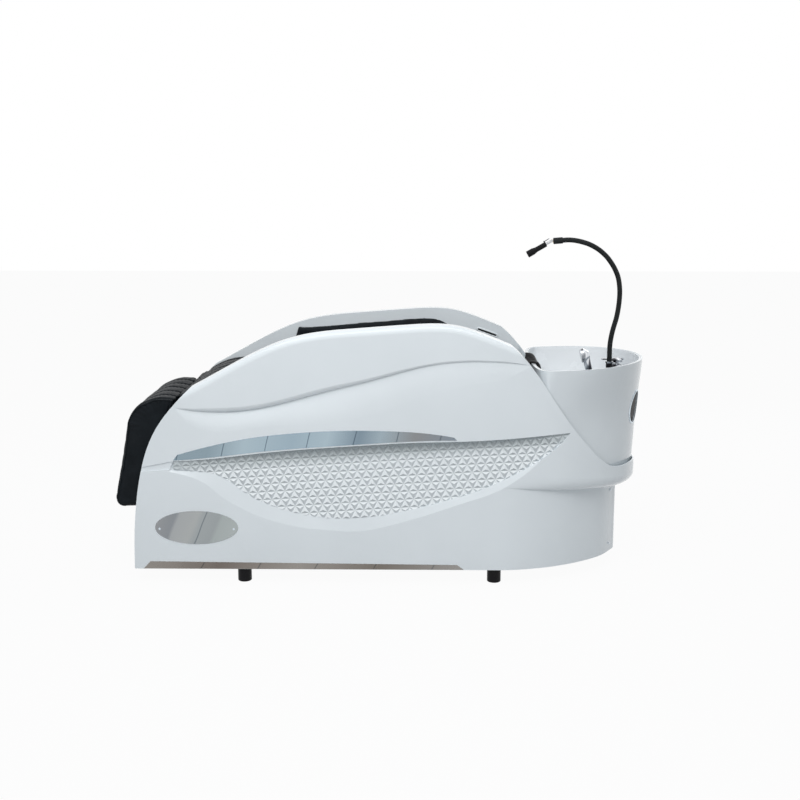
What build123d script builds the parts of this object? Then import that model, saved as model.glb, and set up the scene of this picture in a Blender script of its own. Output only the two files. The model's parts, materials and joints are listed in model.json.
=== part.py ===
from build123d import *
from math import cos, pi, radians, sin, tan
import os

# A hair washing bed in millimetres. +X points from the leg rest to the basin, +Z up,
# and the origin is on the floor at the middle of the bounding box. -Y is the left side.

# Driving sizes of the whole bed
half_length = 970.0
shell_top = 942.0
shell_half_width = 319.0
shell_wall = 5.0
shell_bottom = 52.0
arm_width = 65.0
seam_gap = 0.3
overrun = 20.0

# Side profile of the moulded shell, as shares of half length and shell top
front_edge_shares = [(-0.928, 0.055), (-0.926, 0.163), (-0.915, 0.304), (-0.888, 0.458),
                     (-0.838, 0.594), (-0.761, 0.701), (-0.701, 0.764)]
arm_top_shares = [(-0.701, 0.764), (-0.605, 0.818), (-0.481, 0.887), (-0.340, 0.947),
                  (-0.064, 0.986), (0.120, 1.0), (0.281, 0.995), (0.358, 0.972), (0.474, 0.924)]
slope_edge_shares = [(0.474, 0.924), (0.556, 0.834), (0.621, 0.736), (0.703, 0.613),
                     (0.767, 0.532), (0.820, 0.473), (0.867, 0.440), (0.925, 0.434), (1.0, 0.430)]
arm_edge_radius = 22.0
crown_zone_share = 0.85
crown_length_share = 0.8
arm_rear_x = 530.0
arm_inner_bottom = 545.0

# Rounded rear of the shell in plan: a wide collar over a narrower base
turn_x = 430.0
collar_reach = 520.0
collar_power = 2.15
base_reach = 456.0
base_power = 1.7
collar_crease_height = 360.0
collar_tilt = 5.6
collar_round_height = 52.0
plan_points = 8
quarter_turn = 90.0
half_turn = 180.0
halvings = 24
collar_height_shares = [0.0, 0.06, 0.25, 0.6, 1.0]

# Rear service panel between the two shells
service_half_width = 90.0
service_bottom = 75.0
service_top = 300.0
service_sheet = 3.0
service_ledge = 15.0
service_screw_radius = 4.0
service_screw_head = 2.0

# Crease under the arm bulge: station x, crease height, setback and foot of the tapered face
crease_stations = [(-0.752, 0.687, 0.04, 0.676), (-0.722, 0.680, 0.30, 0.640), (-0.637, 0.671, 0.80, 0.600),
                   (-0.498, 0.676, 1.0, 0.610), (-0.335, 0.711, 1.0, 0.625), (-0.141, 0.765, 0.85, 0.645),
                   (0.012, 0.806, 0.65, 0.680), (0.140, 0.842, 0.48, 0.730), (0.294, 0.864, 0.36, 0.775),
                   (0.412, 0.864, 0.30, 0.790), (0.580, 0.845, 0.28, 0.775)]
crease_setback = 18.0
crease_hollow_share = 0.25
crease_lip_share = 1.25
crease_foot_lip = 3.0
lip_round_share = 0.293

# Lens shaped recess with its raised triangle pattern, and the smooth band below it
lens_top_shares = [(-0.771, 0.482), (-0.598, 0.495), (-0.457, 0.513), (-0.190, 0.537), (-0.035, 0.548),
                   (0.152, 0.558), (0.277, 0.561), (0.429, 0.569), (0.582, 0.582), (0.696, 0.590)]
lens_bottom_shares = [(0.696, 0.590), (0.670, 0.558), (0.618, 0.512), (0.510, 0.442), (0.354, 0.366),
                      (0.198, 0.316), (0.041, 0.277), (-0.115, 0.257), (-0.194, 0.259), (-0.322, 0.279),
                      (-0.416, 0.309), (-0.482, 0.339), (-0.562, 0.399), (-0.608, 0.425), (-0.698, 0.444),
                      (-0.771, 0.450)]
band_bottom_shares = [(0.705, 0.588), (0.640, 0.500), (0.520, 0.420), (0.401, 0.356), (0.307, 0.323),
                      (0.184, 0.279), (0.042, 0.235), (-0.100, 0.207), (-0.193, 0.212), (-0.296, 0.222),
                      (-0.391, 0.244), (-0.486, 0.279), (-0.546, 0.312), (-0.602, 0.349), (-0.648, 0.390),
                      (-0.719, 0.424), (-0.790, 0.441)]
band_depth = 9.0
pocket_shares = [-0.791, -0.6, -0.4, -0.2, 0.0, 0.2, 0.4, 0.55, 0.71]
recess_depth = 38.0
recess_left_reach = 790.0
recess_right_reach = 715.0
panel_sheet = 4.0
tile_side = 33.0
tile_tilt = 3.5
tile_rise = 5.5
depth_low_share = 0.27
lens_middle = 7
triangle_angle = 60.0
tile_reach_share = 0.45
spare_rows = 3
key_digits = 3
groove_depth = 3.5
groove_shares = [(-0.90, 0.456), (-0.771, 0.482), (-0.771, 0.450), (-0.90, 0.441)]

# Polished trims on each side
trim_sheet = 1.0
lens_trim_top_shares = [(-0.754, 0.507), (-0.621, 0.544), (-0.472, 0.575), (-0.324, 0.592),
                        (-0.189, 0.601), (0.035, 0.601), (0.152, 0.594), (0.267, 0.577)]
lens_trim_bottom_shares = [(0.277, 0.566), (0.152, 0.564), (-0.035, 0.553), (-0.190, 0.542),
                           (-0.457, 0.519), (-0.598, 0.501), (-0.771, 0.485)]
kick_left_x = -867.0
kick_right_x = 297.0
kick_bottom = 53.0
kick_left_top = 80.0
kick_right_top = 71.0
kick_slant = 24.0
oval_centre_x = -670.0
oval_centre_z = 208.0
oval_length = 301.0
oval_height = 124.0
oval_screw_inset = 16.0
oval_screw_drop = 5.0
plate_screw_radius = 4.5
plate_screw_head = 2.2
screw_dome_share = 0.8

# Steel frame
tube = 40.0
tube_wall = 2.5
rail_bottom = 62.0
rail_front_x = -879.5
rail_rear_x = 430.0
rail_gap = 0.4
spine_y = 120.0
spine_rear_x = 790.0
post_front_x = -610.0
post_middle_x = -60.0
post_rear_x = 480.0
post_x = [post_front_x, post_middle_x, post_rear_x]
post_y = 205.0
beam_front_x = -730.0
beam_front_z = 430.0
board_sheet = 15.0
foot_front_x = -504.0
foot_rear_x = 409.0
foot_x = [foot_front_x, foot_rear_x]
cross_places = [rail_front_x + tube / 2, foot_front_x, post_middle_x]
foot_y = 285.0
foot_radius = 25.0

# Leg rest, which turns about a pin behind the knee
pivot_x = -790.0
pivot_z = 560.0
knee_radius = 113.0
knee_gap = 4.0
knee_inner_radius = 62.0
leg_half_width = 249.0
leg_board_sheet = 12.0
leg_back_angle = 68.0
knee_middle_angle = 125.0
leg_bottom_z = 271.0
leg_front_x = -969.7
leg_back_x = -900.0
leg_corner_radius = 28.0
leg_face_shares = [(68.0, 1.0), (88.0, 1.0), (108.0, 1.0), (119.0, 1.01), (135.0, 1.075), (147.0, 1.12),
                   (160.0, 1.16), (176.0, 1.21)]
cheek_reach = 22.0
cheek_inset = 3.0
cheek_shares = [(-0.513, -0.973), (-0.088, -0.496), (0.106, 0.0)]
pivot_pin_radius = 8.0
pin_fit = 0.05
arm_eye_radius = 18.0
arm_plate = 8.0
arm_y = 150.0
arm_low_z = 440.0
ear_plate = 6.0
ear_gap = 0.6
clip_radius = 12.0
clip_sheet = 2.0
front_inset = 14.0

# Upholstery between the arms, as shares of half length and shell top
lie_top_shares = [(-0.771, 0.706), (-0.745, 0.727), (-0.700, 0.758), (-0.646, 0.785), (-0.568, 0.800),
                  (-0.412, 0.788), (-0.155, 0.752), (0.052, 0.748), (0.258, 0.778), (0.443, 0.815),
                  (0.548, 0.829)]
cushion_thickness = 78.0
cushion_half_width = 249.0
cushion_split_x = -70.0
cushion_gap = 2.0
nose_top_angle = 66.0
nose_low_angle = 22.0
board_left_x = -640.0
crown_shares = [(-1.0, 1.0), (-0.93, 0.375), (-0.6, 0.125), (0.0, 0.0), (0.6, 0.125), (0.93, 0.375),
                (1.0, 1.0)]
crown_drop = 8.0
leg_crown_drop = 4.0
bolster_top_shares = [(-0.362, 0.926), (-0.227, 0.934), (-0.088, 0.947), (0.060, 0.959), (0.165, 0.966),
                      (0.223, 0.958), (0.270, 0.930)]
bolster_bottom_shares = [(0.310, 0.830), (0.052, 0.790), (-0.155, 0.794), (-0.400, 0.800)]
bolster_thickness = 24.0
bolster_taper = 14.0

# Basin: the tub's outer skin at several heights as shares (height, centre, back, half width) and power
tub_front_x = 548.0
tub_section_shares = [(0.3737, 0.5773, 0.9649, 0.8715, 1.80), (0.4777, 0.5794, 0.9753, 0.8777, 1.80),
                      (0.6582, 0.5979, 0.9861, 0.8934, 1.85), (0.7431, 0.6309, 0.9933, 0.9310, 1.92),
                      (0.8493, 0.6753, 1.0000, 0.9812, 2.05)]
tub_front_power = 4.5
tub_wall = 7.0
rim_front_z = 780.0
rim_back_z = 795.0
tub_quarter_points = 6
bowl_wall = 5.0
bowl_gap = 0.4
deck_z = 690.0
bowl_floor_z = 572.0
bowl_back_x = 808.0
bowl_half_width = 215.0
bowl_front_gap = 12.0
bowl_draft = 34.0
bowl_mid_share = 0.3
ring_drop = 1.5
neck_notch_depth = 44.0
neck_notch_half_width = 96.0
neck_notch_radius = 40.0

# Neck cushion over the notch
neck_half_width = 122.0
neck_front_x = 541.0
neck_back_x = 584.0
neck_drop = 62.0
neck_lip = 9.0
neck_dip_share = 0.5
neck_round_share = 0.75

# Oval access hole in the tub, rear left
access_angle = -25.3
access_height = 613.0
access_length = 118.0
access_width = 80.0
access_x = 936.0
access_y = -80.0
bezel_width = 5.0
bezel_stand = 2.5

# Drain
drain_flange_radius = 34.0
drain_flange_sheet = 3.0
drain_pipe_radius = 20.0
drain_pipe_wall = 2.5
strainer_radius = 22.0
strainer_sheet = 2.0
strainer_hole_radius = 2.2
strainer_depth = 14.0
strainer_ring_shares = [(0.0, 1), (0.273, 6), (0.523, 12)]
service_screw_lean = 0.35
outlet_bend = 24.0
trap_neck_share = 0.8
trap_radius = 33.0
trap_height = 95.0
trap_top_z = 500.0
outlet_z = 70.0
nut_height = 16.0
nut_radius = 26.0

# Mixer tap on the rear deck: a body, a turning stem and a domed lever that tilts on it
mixer_x = 886.0
mixer_y = 52.0
mixer_radius = 21.0
mixer_foot_radius = 22.0
mixer_height = 62.0
mixer_neck_radius = 12.0
mixer_neck_height = 3.0
mixer_flange_radius = 26.0
mixer_flange_sheet = 5.0
stem_radius = 5.0
stem_seat = 20.0
stem_pin_radius = 2.0
lever_pivot_height = 75.0
dome_radius = 22.0
dome_low = 71.0
dome_high = 86.0
dome_cavity_radius = 16.0
dome_cavity_height = 2.5
dome_slot_height = 11.5
lever_length = 57.0
lever_tail = 29.0
lever_width = 15.0
lever_tip_width = 11.0
lever_sheet = 5.0
lever_low = 79.0
tail_length = 46.0
tail_radius = 12.8
running_fit = 0.05

# Hand shower in its cup
shower_x = 743.5
shower_y = -228.0
holder_radius = 16.0
holder_bore_radius = 12.4
holder_height = 34.0
holder_tail_radius = 14.4
flange_step = 4.0
flange_sheet = 3.0
shower_handle_radius = 12.0
shower_bend_height = 78.0
shower_lean = 14.0
shower_rise = 61.0
shower_bend_radius = 60.0
shower_head_radius = 26.0
shower_head_depth = 18.0
shower_face_radius = 23.0
shower_face_sheet = 6.0
shower_head_tilt = 12.0

# Gooseneck arm: base sleeve, collar and bent tube as (x, z) shares of half length and shell top
goose_x = 851.0
goose_radius = 9.3
goose_sleeve_radius = 12.5
goose_sleeve_height = 75.0
goose_seat_height = 10.0
goose_tail_radius = 10.4
goose_collar_radius = 15.0
goose_collar_sheet = 6.0
goose_shares = [(0.8773, 0.8896), (0.8856, 0.9406), (0.9010, 0.9968), (0.9082, 1.0510), (0.9098, 1.1040),
                (0.9021, 1.1550), (0.8835, 1.1964), (0.8557, 1.2357), (0.8237, 1.2643), (0.7856, 1.2856),
                (0.7443, 1.2972), (0.7113, 1.3015), (0.6536, 1.2967)]
bend_share = 0.45
ferrule_radius = 11.8
ferrule_length = 34.0
ferrule_wall = 4.0

# Spray nozzle at the arm's end: tang, forked stem, grip, tip and thumb lever
nozzle_joint_x = 624.5
nozzle_joint_z = 1222.0
nozzle_angle = 29.7
tang_sheet = 3.2
tang_radius = 5.0
tang_pin_radius = 1.6
fork_sheet = 2.2
nozzle_stem_radius = 4.6
nozzle_stem_end = 24.0
nozzle_grip_radius = 9.5
nozzle_grip_end = 66.0
nozzle_tip_radius = 12.5
nozzle_tip_end = 103.0
nozzle_face_inset = 2.0
thumb_width = 6.0
thumb_sheet = 2.4
thumb_near = 4.0
thumb_rise = 12.5
thumb_pin_radius = 1.2
thumb_ear_sheet = 2.5

# Hoses under the deck and the inlet tails through the rear cross tube
hose_radius = 4.5
hose_ring = 7.5
hose_bend = 34.0
feed_drop = 54.0
feed_bend = 22.0
hot_angle = 116.0
cold_angle = 356.0
feed_angle = 236.0
cold_inlet_y = 35.0
hot_inlet_y = 75.0
inlet_y_places = [cold_inlet_y, hot_inlet_y]
inlet_radius = 8.0
inlet_foot = 22.0
inlet_head = 26.0
deck_nut_height = 9.0
deck_nut_step = 7.0


def place(shares):
    """Turn shares of half length and shell top into real x and z."""
    return [(x * half_length, z * shell_top) for x, z in shares]


def quarter(reach, width, power, count=plan_points):
    """Points of a quarter superellipse from the side of the bed round to its back."""
    turns = [radians(quarter_turn * i / (count - 1)) for i in range(count)]
    xs = [reach * max(sin(t), 0) ** (2 / power) for t in turns]
    ys = [width * max(cos(t), 0) ** (2 / power) for t in turns]
    ys[-1] = 0
    return list(zip(xs, ys))


def side_reach(x):
    """Half width of the shell's outer skin above the collar at one x."""
    beyond = max(x - turn_x, 0) / collar_reach
    return shell_half_width * (1 - beyond ** collar_power) ** (1 / collar_power)


def recess_at(x, z):
    """Depth of the patterned floor below the outer skin."""
    reach = recess_left_reach if x < 0 else recess_right_reach
    along = max(1 - (x / reach) ** 2, 0)
    low = shell_top * lens_bottom_shares[lens_middle][1]
    high = shell_top * lens_top_shares[lens_middle][1]
    up = min(max((z - low) / (high - low), 0), 1)
    return recess_depth * along * (depth_low_share + (1 - depth_low_share) * up)


def back_of_panel(x):
    """Half width of the pocket's back wall at one x."""
    reach = recess_left_reach if x < 0 else recess_right_reach
    along = max(1 - (x / reach) ** 2, 0)
    return side_reach(x) - recess_depth * along - panel_sheet


def crest(shares, **more):
    """A smooth curve through shared points, made in the open line context."""
    return Spline(*place(shares), **more)


def moved_left(points, amount):
    """Points moved by amount to the left of the line that runs through them."""
    moved = []
    for i, (x, z) in enumerate(points):
        before = points[max(i - 1, 0)]
        after = points[min(i + 1, len(points) - 1)]
        along = Vector(after[0] - before[0], after[1] - before[1]).normalized()
        moved.append((x - amount * along.Y, z + amount * along.X))
    return moved


def save(shape, name):
    """Label one finished piece and write it."""
    shape.label = name
    export_step(shape, f"parts/{name}.step")


def save_pair(shape, name):
    """Write a left piece and its mirror image on the right."""
    save(shape, f"left_{name}")
    save(mirror(shape, about=Plane.XZ), f"right_{name}")


os.makedirs("parts", exist_ok=True)

shell_front_x = half_length * front_edge_shares[0][0]
shell_crown = shell_top + overrun
arm_inner = shell_half_width - arm_width


# Shared outlines of the moulded shell

with BuildSketch(Plane.XZ) as side_profile:
    with BuildLine():
        front = crest(front_edge_shares)
        top = crest(arm_top_shares)
        slope = crest(slope_edge_shares)
        Polyline(slope @ 1, (half_length, shell_bottom), (shell_front_x, shell_bottom), front @ 0)
    make_face()

void_line = moved_left(place(front_edge_shares + arm_top_shares[1:] + slope_edge_shares[1:]), -shell_wall)
top_start = len(front_edge_shares) - 1
slope_start = top_start + len(arm_top_shares) - 1
with BuildSketch(Plane.XZ) as side_void_profile:
    with BuildLine():
        front = Spline(*void_line[:top_start + 1])
        top = Spline(*void_line[top_start:slope_start + 1])
        slope = Spline(*void_line[slope_start:])
        Polyline(slope @ 1, ((slope @ 1).X, -overrun), ((front @ 0).X, -overrun), front @ 0)
    make_face()


def plan_outline(reach, power, inset):
    """Plan outline of the left half of the shell."""
    points = quarter(reach - inset, shell_half_width - inset, power)
    with BuildSketch() as outline:
        with BuildLine():
            curve = Spline(*[(turn_x + x, -y) for x, y in points], tangents=((1, 0), (0, 1)))
            Polyline(curve @ 1, (shell_front_x - overrun, 0),
                     (shell_front_x - overrun, -shell_half_width + inset), curve @ 0)
        make_face()
    return outline.sketch


def box_between(low, high):
    """A closed box between two corners."""
    with BuildPart() as box:
        with BuildSketch(Plane.XY.offset(low[2])):
            with Locations(((low[0] + high[0]) / 2, (low[1] + high[1]) / 2)):
                Rectangle(high[0] - low[0], high[1] - low[1])
        extrude(amount=high[2] - low[2])
    return box.part


def service_block(inset_reach, half_width, low_z, high_z):
    """A block of the base's rear, inside its skin moved inwards."""
    with BuildPart() as block:
        with BuildSketch(Plane.XY.offset(low_z)):
            add(plan_outline(base_reach, base_power, inset_reach))
            mirror(about=Plane.XZ)
        extrude(amount=high_z - low_z)
        add(box_between((turn_x, -half_width, low_z), (half_length, half_width, high_z)),
            mode=Mode.INTERSECT)
    return block.part


# The left shell's outer form: base, collar and the wall above it share their outlines
tilted = Plane(origin=(turn_x, 0, collar_crease_height),
               x_dir=(cos(radians(collar_tilt)), 0, -sin(radians(collar_tilt))),
               z_dir=(sin(radians(collar_tilt)), 0, cos(radians(collar_tilt))))
collar_top = tilted.offset(collar_round_height)


def collar_section(height_share):
    """The shell's outline on one tilted plane between the crease and the collar's top."""
    grown = (1 - (1 - height_share) ** 2) ** 0.5
    reach = base_reach + (collar_reach - base_reach) * grown
    power = base_power + (collar_power - base_power) * grown
    rise = height_share * collar_round_height
    shift = rise * tan(radians(collar_tilt))
    with BuildSketch(tilted.offset(rise)) as section:
        with BuildLine():
            points = quarter(reach, shell_half_width, power)
            curve = Spline(*[(x / cos(radians(collar_tilt)) - shift, -y) for x, y in points],
                           tangents=((1, 0), (0, 1)))
            Polyline(curve @ 1, (-overrun, 0), (-overrun, -shell_half_width), curve @ 0)
        make_face()
    return section.sketch


with BuildPart() as base_form:
    add(collar_section(0))
    extrude(amount=collar_crease_height + overrun, dir=(0, 0, -1))
    split(bisect_by=Plane.XY.offset(shell_bottom), keep=Keep.TOP)

with BuildPart() as collar_form:
    for height_share in collar_height_shares:
        add(collar_section(height_share))
    loft()

with BuildPart() as upper_form:
    add(collar_section(1))
    extrude(amount=shell_crown, dir=(0, 0, 1))

with BuildPart() as front_slab:
    with BuildSketch(Plane.XY.offset(shell_bottom)):
        with BuildLine():
            Polyline((shell_front_x - overrun, 0), (turn_x, 0), (turn_x, -shell_half_width),
                     (shell_front_x - overrun, -shell_half_width), close=True)
        make_face()
    extrude(amount=shell_crown - shell_bottom)

with BuildPart() as shell_block:
    add(base_form.part)
    add(collar_form.part)
    add(upper_form.part)
    add(front_slab.part)
    extrude(side_profile.sketch, amount=shell_half_width + overrun, mode=Mode.INTERSECT)


# The room that the tapered face and its wall take from the hollow inside the arm
with BuildPart() as crease_backing:
    for x_share, crease_share, depth_share, foot_share in crease_stations:
        depth = crease_setback * depth_share + shell_wall
        crease_z = shell_top * crease_share
        foot_z = shell_top * foot_share - shell_wall
        lip = crease_lip_share * depth + crease_foot_lip
        skin = -shell_half_width - overrun
        with BuildSketch(Plane.YZ.offset(half_length * x_share)):
            with BuildLine():
                Polyline((skin, foot_z), (skin + overrun + shell_wall, foot_z),
                         (skin + overrun + depth, crease_z - shell_wall),
                         (skin + overrun + depth, crease_z + shell_wall),
                         (skin + overrun + shell_wall, crease_z + lip), (skin, crease_z + lip), close=True)
            make_face()
    loft(ruled=True)

# The tapered face under the arm bulge, cut section by section along the arm
with BuildPart() as crease_cut:
    for x_share, crease_share, depth_share, foot_share in crease_stations:
        depth = crease_setback * depth_share
        crease_z = shell_top * crease_share
        foot_z = shell_top * foot_share
        lip = crease_lip_share * depth + crease_foot_lip
        skin = -shell_half_width
        with BuildSketch(Plane.YZ.offset(half_length * x_share)):
            with BuildLine():
                corner = (skin + depth, crease_z)
                lip_top = (skin, crease_z + lip)
                middle = (skin + lip_round_share * depth, crease_z + lip_round_share * lip)
                ThreePointArc(corner, middle, lip_top)
                Polyline(lip_top, (skin - overrun, crease_z + lip), (skin - overrun, foot_z), (skin, foot_z))
                ThreePointArc((skin, foot_z),
                              (skin + crease_hollow_share * depth, (crease_z + foot_z) / 2), corner)
            make_face()
    loft()

# The smooth band that slopes in from the skin to the patterned panel
with BuildPart() as band_cut:
    with BuildSketch(Plane.XZ.offset(shell_half_width)):
        with BuildLine():
            upper = crest(lens_top_shares)
            lower = crest(band_bottom_shares)
            Line(upper @ 1, lower @ 0)
            Line(lower @ 1, upper @ 0)
        make_face()
    with BuildSketch(Plane.XZ.offset(shell_half_width - band_depth)):
        with BuildLine():
            upper = crest(lens_top_shares)
            lower = crest(lens_bottom_shares[1:])
            Line(upper @ 1, lower @ 0)
            Line(lower @ 1, upper @ 0)
        make_face()
    loft()

with BuildPart() as groove_cut:
    with BuildSketch(Plane.XZ.offset(shell_half_width - groove_depth)):
        with BuildLine():
            Polyline(*place(groove_shares), close=True)
        make_face()
    extrude(amount=groove_depth + overrun)


def lens_prism(bottom_shares, grown, from_y, to_y):
    """The recess outline, grown all round, as a prism across the bed."""
    with BuildPart() as prism:
        with BuildSketch(Plane.XZ.offset(-to_y)):
            with BuildLine():
                upper = Spline(*moved_left(place(lens_top_shares), grown))
                lower = Spline(*moved_left(place(bottom_shares), grown))
                Line(lower @ 1, upper @ 0)
                Line(upper @ 1, lower @ 0)
            make_face()
        extrude(amount=to_y - from_y)
    return prism.part


def pocket_block(extra):
    """Everything outside the pocket's curved back wall, which extra moves inwards."""
    xs = [half_length * share for share in pocket_shares]
    with BuildPart() as block:
        with BuildSketch(Plane.XY):
            with BuildLine():
                back = Spline(*[(x, extra - back_of_panel(x)) for x in xs])
                Polyline(back @ 1, (xs[-1], -shell_half_width - overrun),
                         (xs[0], -shell_half_width - overrun), back @ 0)
            make_face()
        extrude(amount=shell_top)
    return block.part


outer_y = -shell_half_width - overrun
with BuildPart() as pocket:
    add(lens_prism(lens_bottom_shares[1:], 0, outer_y, -arm_inner))
    add(pocket_block(0), mode=Mode.INTERSECT)
with BuildPart() as backing:
    add(lens_prism(band_bottom_shares, shell_wall, outer_y, -arm_inner))
    add(pocket_block(shell_wall), mode=Mode.INTERSECT)
    add(shell_block.part, mode=Mode.INTERSECT)
    add(band_cut.part, mode=Mode.SUBTRACT)

with BuildPart() as arm_form:
    add(shell_block.part)
    top_edges = edges().filter_by_position(Axis.Y, -shell_half_width - seam_gap,
                                           -shell_half_width + seam_gap)
    top_edges = [e for e in top_edges if e.center().Z > shell_top * crown_zone_share]
    top_edges = [e for e in top_edges if e.length > half_length * crown_length_share]
    fillet(top_edges, arm_edge_radius)
    add(crease_cut.part, mode=Mode.SUBTRACT)
    add(band_cut.part, mode=Mode.SUBTRACT)
    add(groove_cut.part, mode=Mode.SUBTRACT)

# The hollow that follows the skin inside
with BuildPart() as hollow:
    with BuildSketch(Plane.XY.offset(-overrun)):
        add(plan_outline(collar_reach, collar_power, shell_wall))
    extrude(amount=shell_crown + overrun)
    extrude(side_void_profile.sketch, amount=shell_half_width, mode=Mode.INTERSECT)
    top_edges = edges().filter_by_position(Axis.Y, shell_wall - shell_half_width - seam_gap,
                                           shell_wall - shell_half_width + seam_gap)
    top_edges = [e for e in top_edges if e.center().Z > shell_top * crown_zone_share]
    top_edges = [e for e in top_edges if e.length > half_length * crown_length_share]
    fillet(top_edges, arm_edge_radius - shell_wall)
with BuildPart() as rear_hollow:
    add(hollow.part)
    split(bisect_by=collar_top, keep=Keep.TOP)

with BuildPart() as base_hollow:
    with BuildSketch(Plane.XY.offset(-overrun)):
        add(plan_outline(base_reach, base_power, shell_wall))
    extrude(amount=collar_crease_height + collar_round_height + 2 * overrun)
    extrude(side_void_profile.sketch, amount=shell_half_width, mode=Mode.INTERSECT)

# Everything inboard of the arm, and everything inside the thin wall round the basin
with BuildPart() as open_middle:
    with BuildSketch(Plane.XY.offset(-overrun)):
        with BuildLine():
            Polyline((shell_front_x - overrun, -arm_inner), (arm_rear_x, -arm_inner), (arm_rear_x, overrun),
                     (shell_front_x - overrun, overrun), close=True)
        make_face()
    extrude(amount=shell_crown + overrun)

with BuildPart() as open_rear:
    with BuildSketch(Plane.XY):
        with BuildLine():
            Polyline((arm_rear_x, -shell_half_width), (half_length, -shell_half_width),
                     (half_length, overrun), (arm_rear_x, overrun), close=True)
        make_face()
        add(plan_outline(collar_reach, collar_power, shell_wall), mode=Mode.INTERSECT)
    extrude(amount=shell_crown)
    split(bisect_by=collar_top, keep=Keep.TOP)

with BuildPart() as inner_wall:
    add(arm_form.part)
    with BuildSketch(Plane.XY.offset(arm_inner_bottom)):
        with BuildLine():
            Polyline((shell_front_x - overrun, -arm_inner), (arm_rear_x, -arm_inner),
                     (arm_rear_x, -shell_half_width), (arm_rear_x - shell_wall, -shell_half_width),
                     (arm_rear_x - shell_wall, -arm_inner - shell_wall),
                     (shell_front_x - overrun, -arm_inner - shell_wall), close=True)
        make_face()
    extrude(amount=shell_top, mode=Mode.INTERSECT)

with BuildPart() as left_side_shell:
    add(arm_form.part)
    add(open_middle.part, mode=Mode.SUBTRACT)
    add(open_rear.part, mode=Mode.SUBTRACT)
    add((hollow.part & front_slab.part) - crease_backing.part, mode=Mode.SUBTRACT)
    add(rear_hollow.part - crease_backing.part, mode=Mode.SUBTRACT)
    add(base_hollow.part, mode=Mode.SUBTRACT)
    add(inner_wall.part)
    add(backing.part)
    add(pocket.part, mode=Mode.SUBTRACT)
    add(service_block(-overrun, service_half_width + seam_gap, service_bottom - seam_gap,
                      service_top + seam_gap)
        - service_block(service_sheet + seam_gap, service_half_width + seam_gap, service_bottom - seam_gap,
                        service_top + seam_gap), mode=Mode.SUBTRACT)
    add(box_between((turn_x, -service_half_width + service_ledge, service_bottom + service_ledge),
                    (half_length, overrun, service_top - service_ledge)), mode=Mode.SUBTRACT)
save_pair(left_side_shell.part, "side_shell")


# Raised triangle pattern: every lattice triangle carries a low three-sided pyramid
def skin_point(u, v, rise):
    """A point of the patterned floor from lattice distances along and up the panel."""
    tilt = radians(tile_tilt)
    x = pattern_x + u * cos(tilt) - v * sin(tilt)
    z = pattern_z + u * sin(tilt) + v * cos(tilt)
    depth = recess_at(x, z)
    return Vector(x, depth - side_reach(min(x, turn_x + collar_reach)) - min(rise, depth / 2), z)


def middle_of(tile):
    """The middle of one lattice triangle."""
    return tuple(sum(corner[i] for corner in tile) / len(tile) for i in range(2))


pattern_x = half_length * lens_bottom_shares[lens_middle][0]
pattern_z = shell_top * lens_bottom_shares[lens_middle][1]
tile_row = tile_side * sin(radians(triangle_angle))
reach_left = int(half_length / tile_side)
lens_rise = shell_top * (lens_top_shares[-1][1] - lens_bottom_shares[lens_middle][1])
rows = range(-1, int(lens_rise / tile_row) + spare_rows)
inside_face = Face(lens_prism(lens_bottom_shares[1:], tile_side * tile_reach_share, outer_y, -arm_inner)
                   .faces().sort_by(Axis.Y)[0].outer_wire())
tiles = []
for row in rows:
    for column in range(-reach_left, reach_left):
        slide = (column + (row % 2) / 2) * tile_side
        low = row * tile_row
        up = [(slide, low), (slide + tile_side, low), (slide + tile_side / 2, low + tile_row)]
        down = [(slide, low), (slide + tile_side / 2, low + tile_row),
                (slide - tile_side / 2, low + tile_row)]
        for tile in (up, down):
            centre = skin_point(*middle_of(tile), 0)
            if inside_face.is_inside(Vector(centre.X, outer_y, centre.Z)):
                tiles.append(tile)
back_y = -arm_inner
facets = []
edge_uses = {}
for tile in tiles:
    centre = middle_of(tile)
    apex = skin_point(*centre, tile_rise)
    for first, second in zip(tile, tile[1:] + tile[:1]):
        facets.append((skin_point(*first, 0), skin_point(*second, 0), apex))
        key = tuple(sorted((tuple(round(c, key_digits) for c in first),
                            tuple(round(c, key_digits) for c in second))))
        edge_uses.setdefault(key, []).append((first, second))
    corners = [skin_point(*p, 0) for p in tile]
    facets.append(tuple(Vector(p.X, back_y, p.Z) for p in reversed(corners)))
for key, uses in edge_uses.items():
    if len(uses) == 1:
        first, second = [skin_point(*p, 0) for p in uses[0]]
        behind_first = Vector(first.X, back_y, first.Z)
        behind_second = Vector(second.X, back_y, second.Z)
        facets.append((second, first, behind_first, behind_second))
blanket = Solid(Shell([Face(Wire.make_polygon(facet)) for facet in facets]))
with BuildPart() as left_relief_panel:
    add(blanket)
    add(pocket.part, mode=Mode.INTERSECT)
save_pair(left_relief_panel.part, "relief_panel")


# Polished trims, the oval plates and their screws
with BuildPart() as left_lens_trim:
    with BuildSketch(Plane.XZ.offset(shell_half_width)):
        with BuildLine():
            upper = crest(lens_trim_top_shares)
            lower = crest(lens_trim_bottom_shares)
            Line(upper @ 1, lower @ 0)
            Line(lower @ 1, upper @ 0)
        make_face()
    extrude(amount=trim_sheet)
save_pair(left_lens_trim.part, "lens_trim")

with BuildPart() as left_kick_trim:
    with BuildSketch(Plane.XZ.offset(shell_half_width)):
        with BuildLine():
            Polyline((kick_left_x, kick_bottom), (kick_left_x + kick_slant, kick_left_top),
                     (kick_right_x - kick_slant, kick_right_top), (kick_right_x, kick_bottom), close=True)
        make_face()
    extrude(amount=trim_sheet)
save_pair(left_kick_trim.part, "kick_trim")

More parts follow.
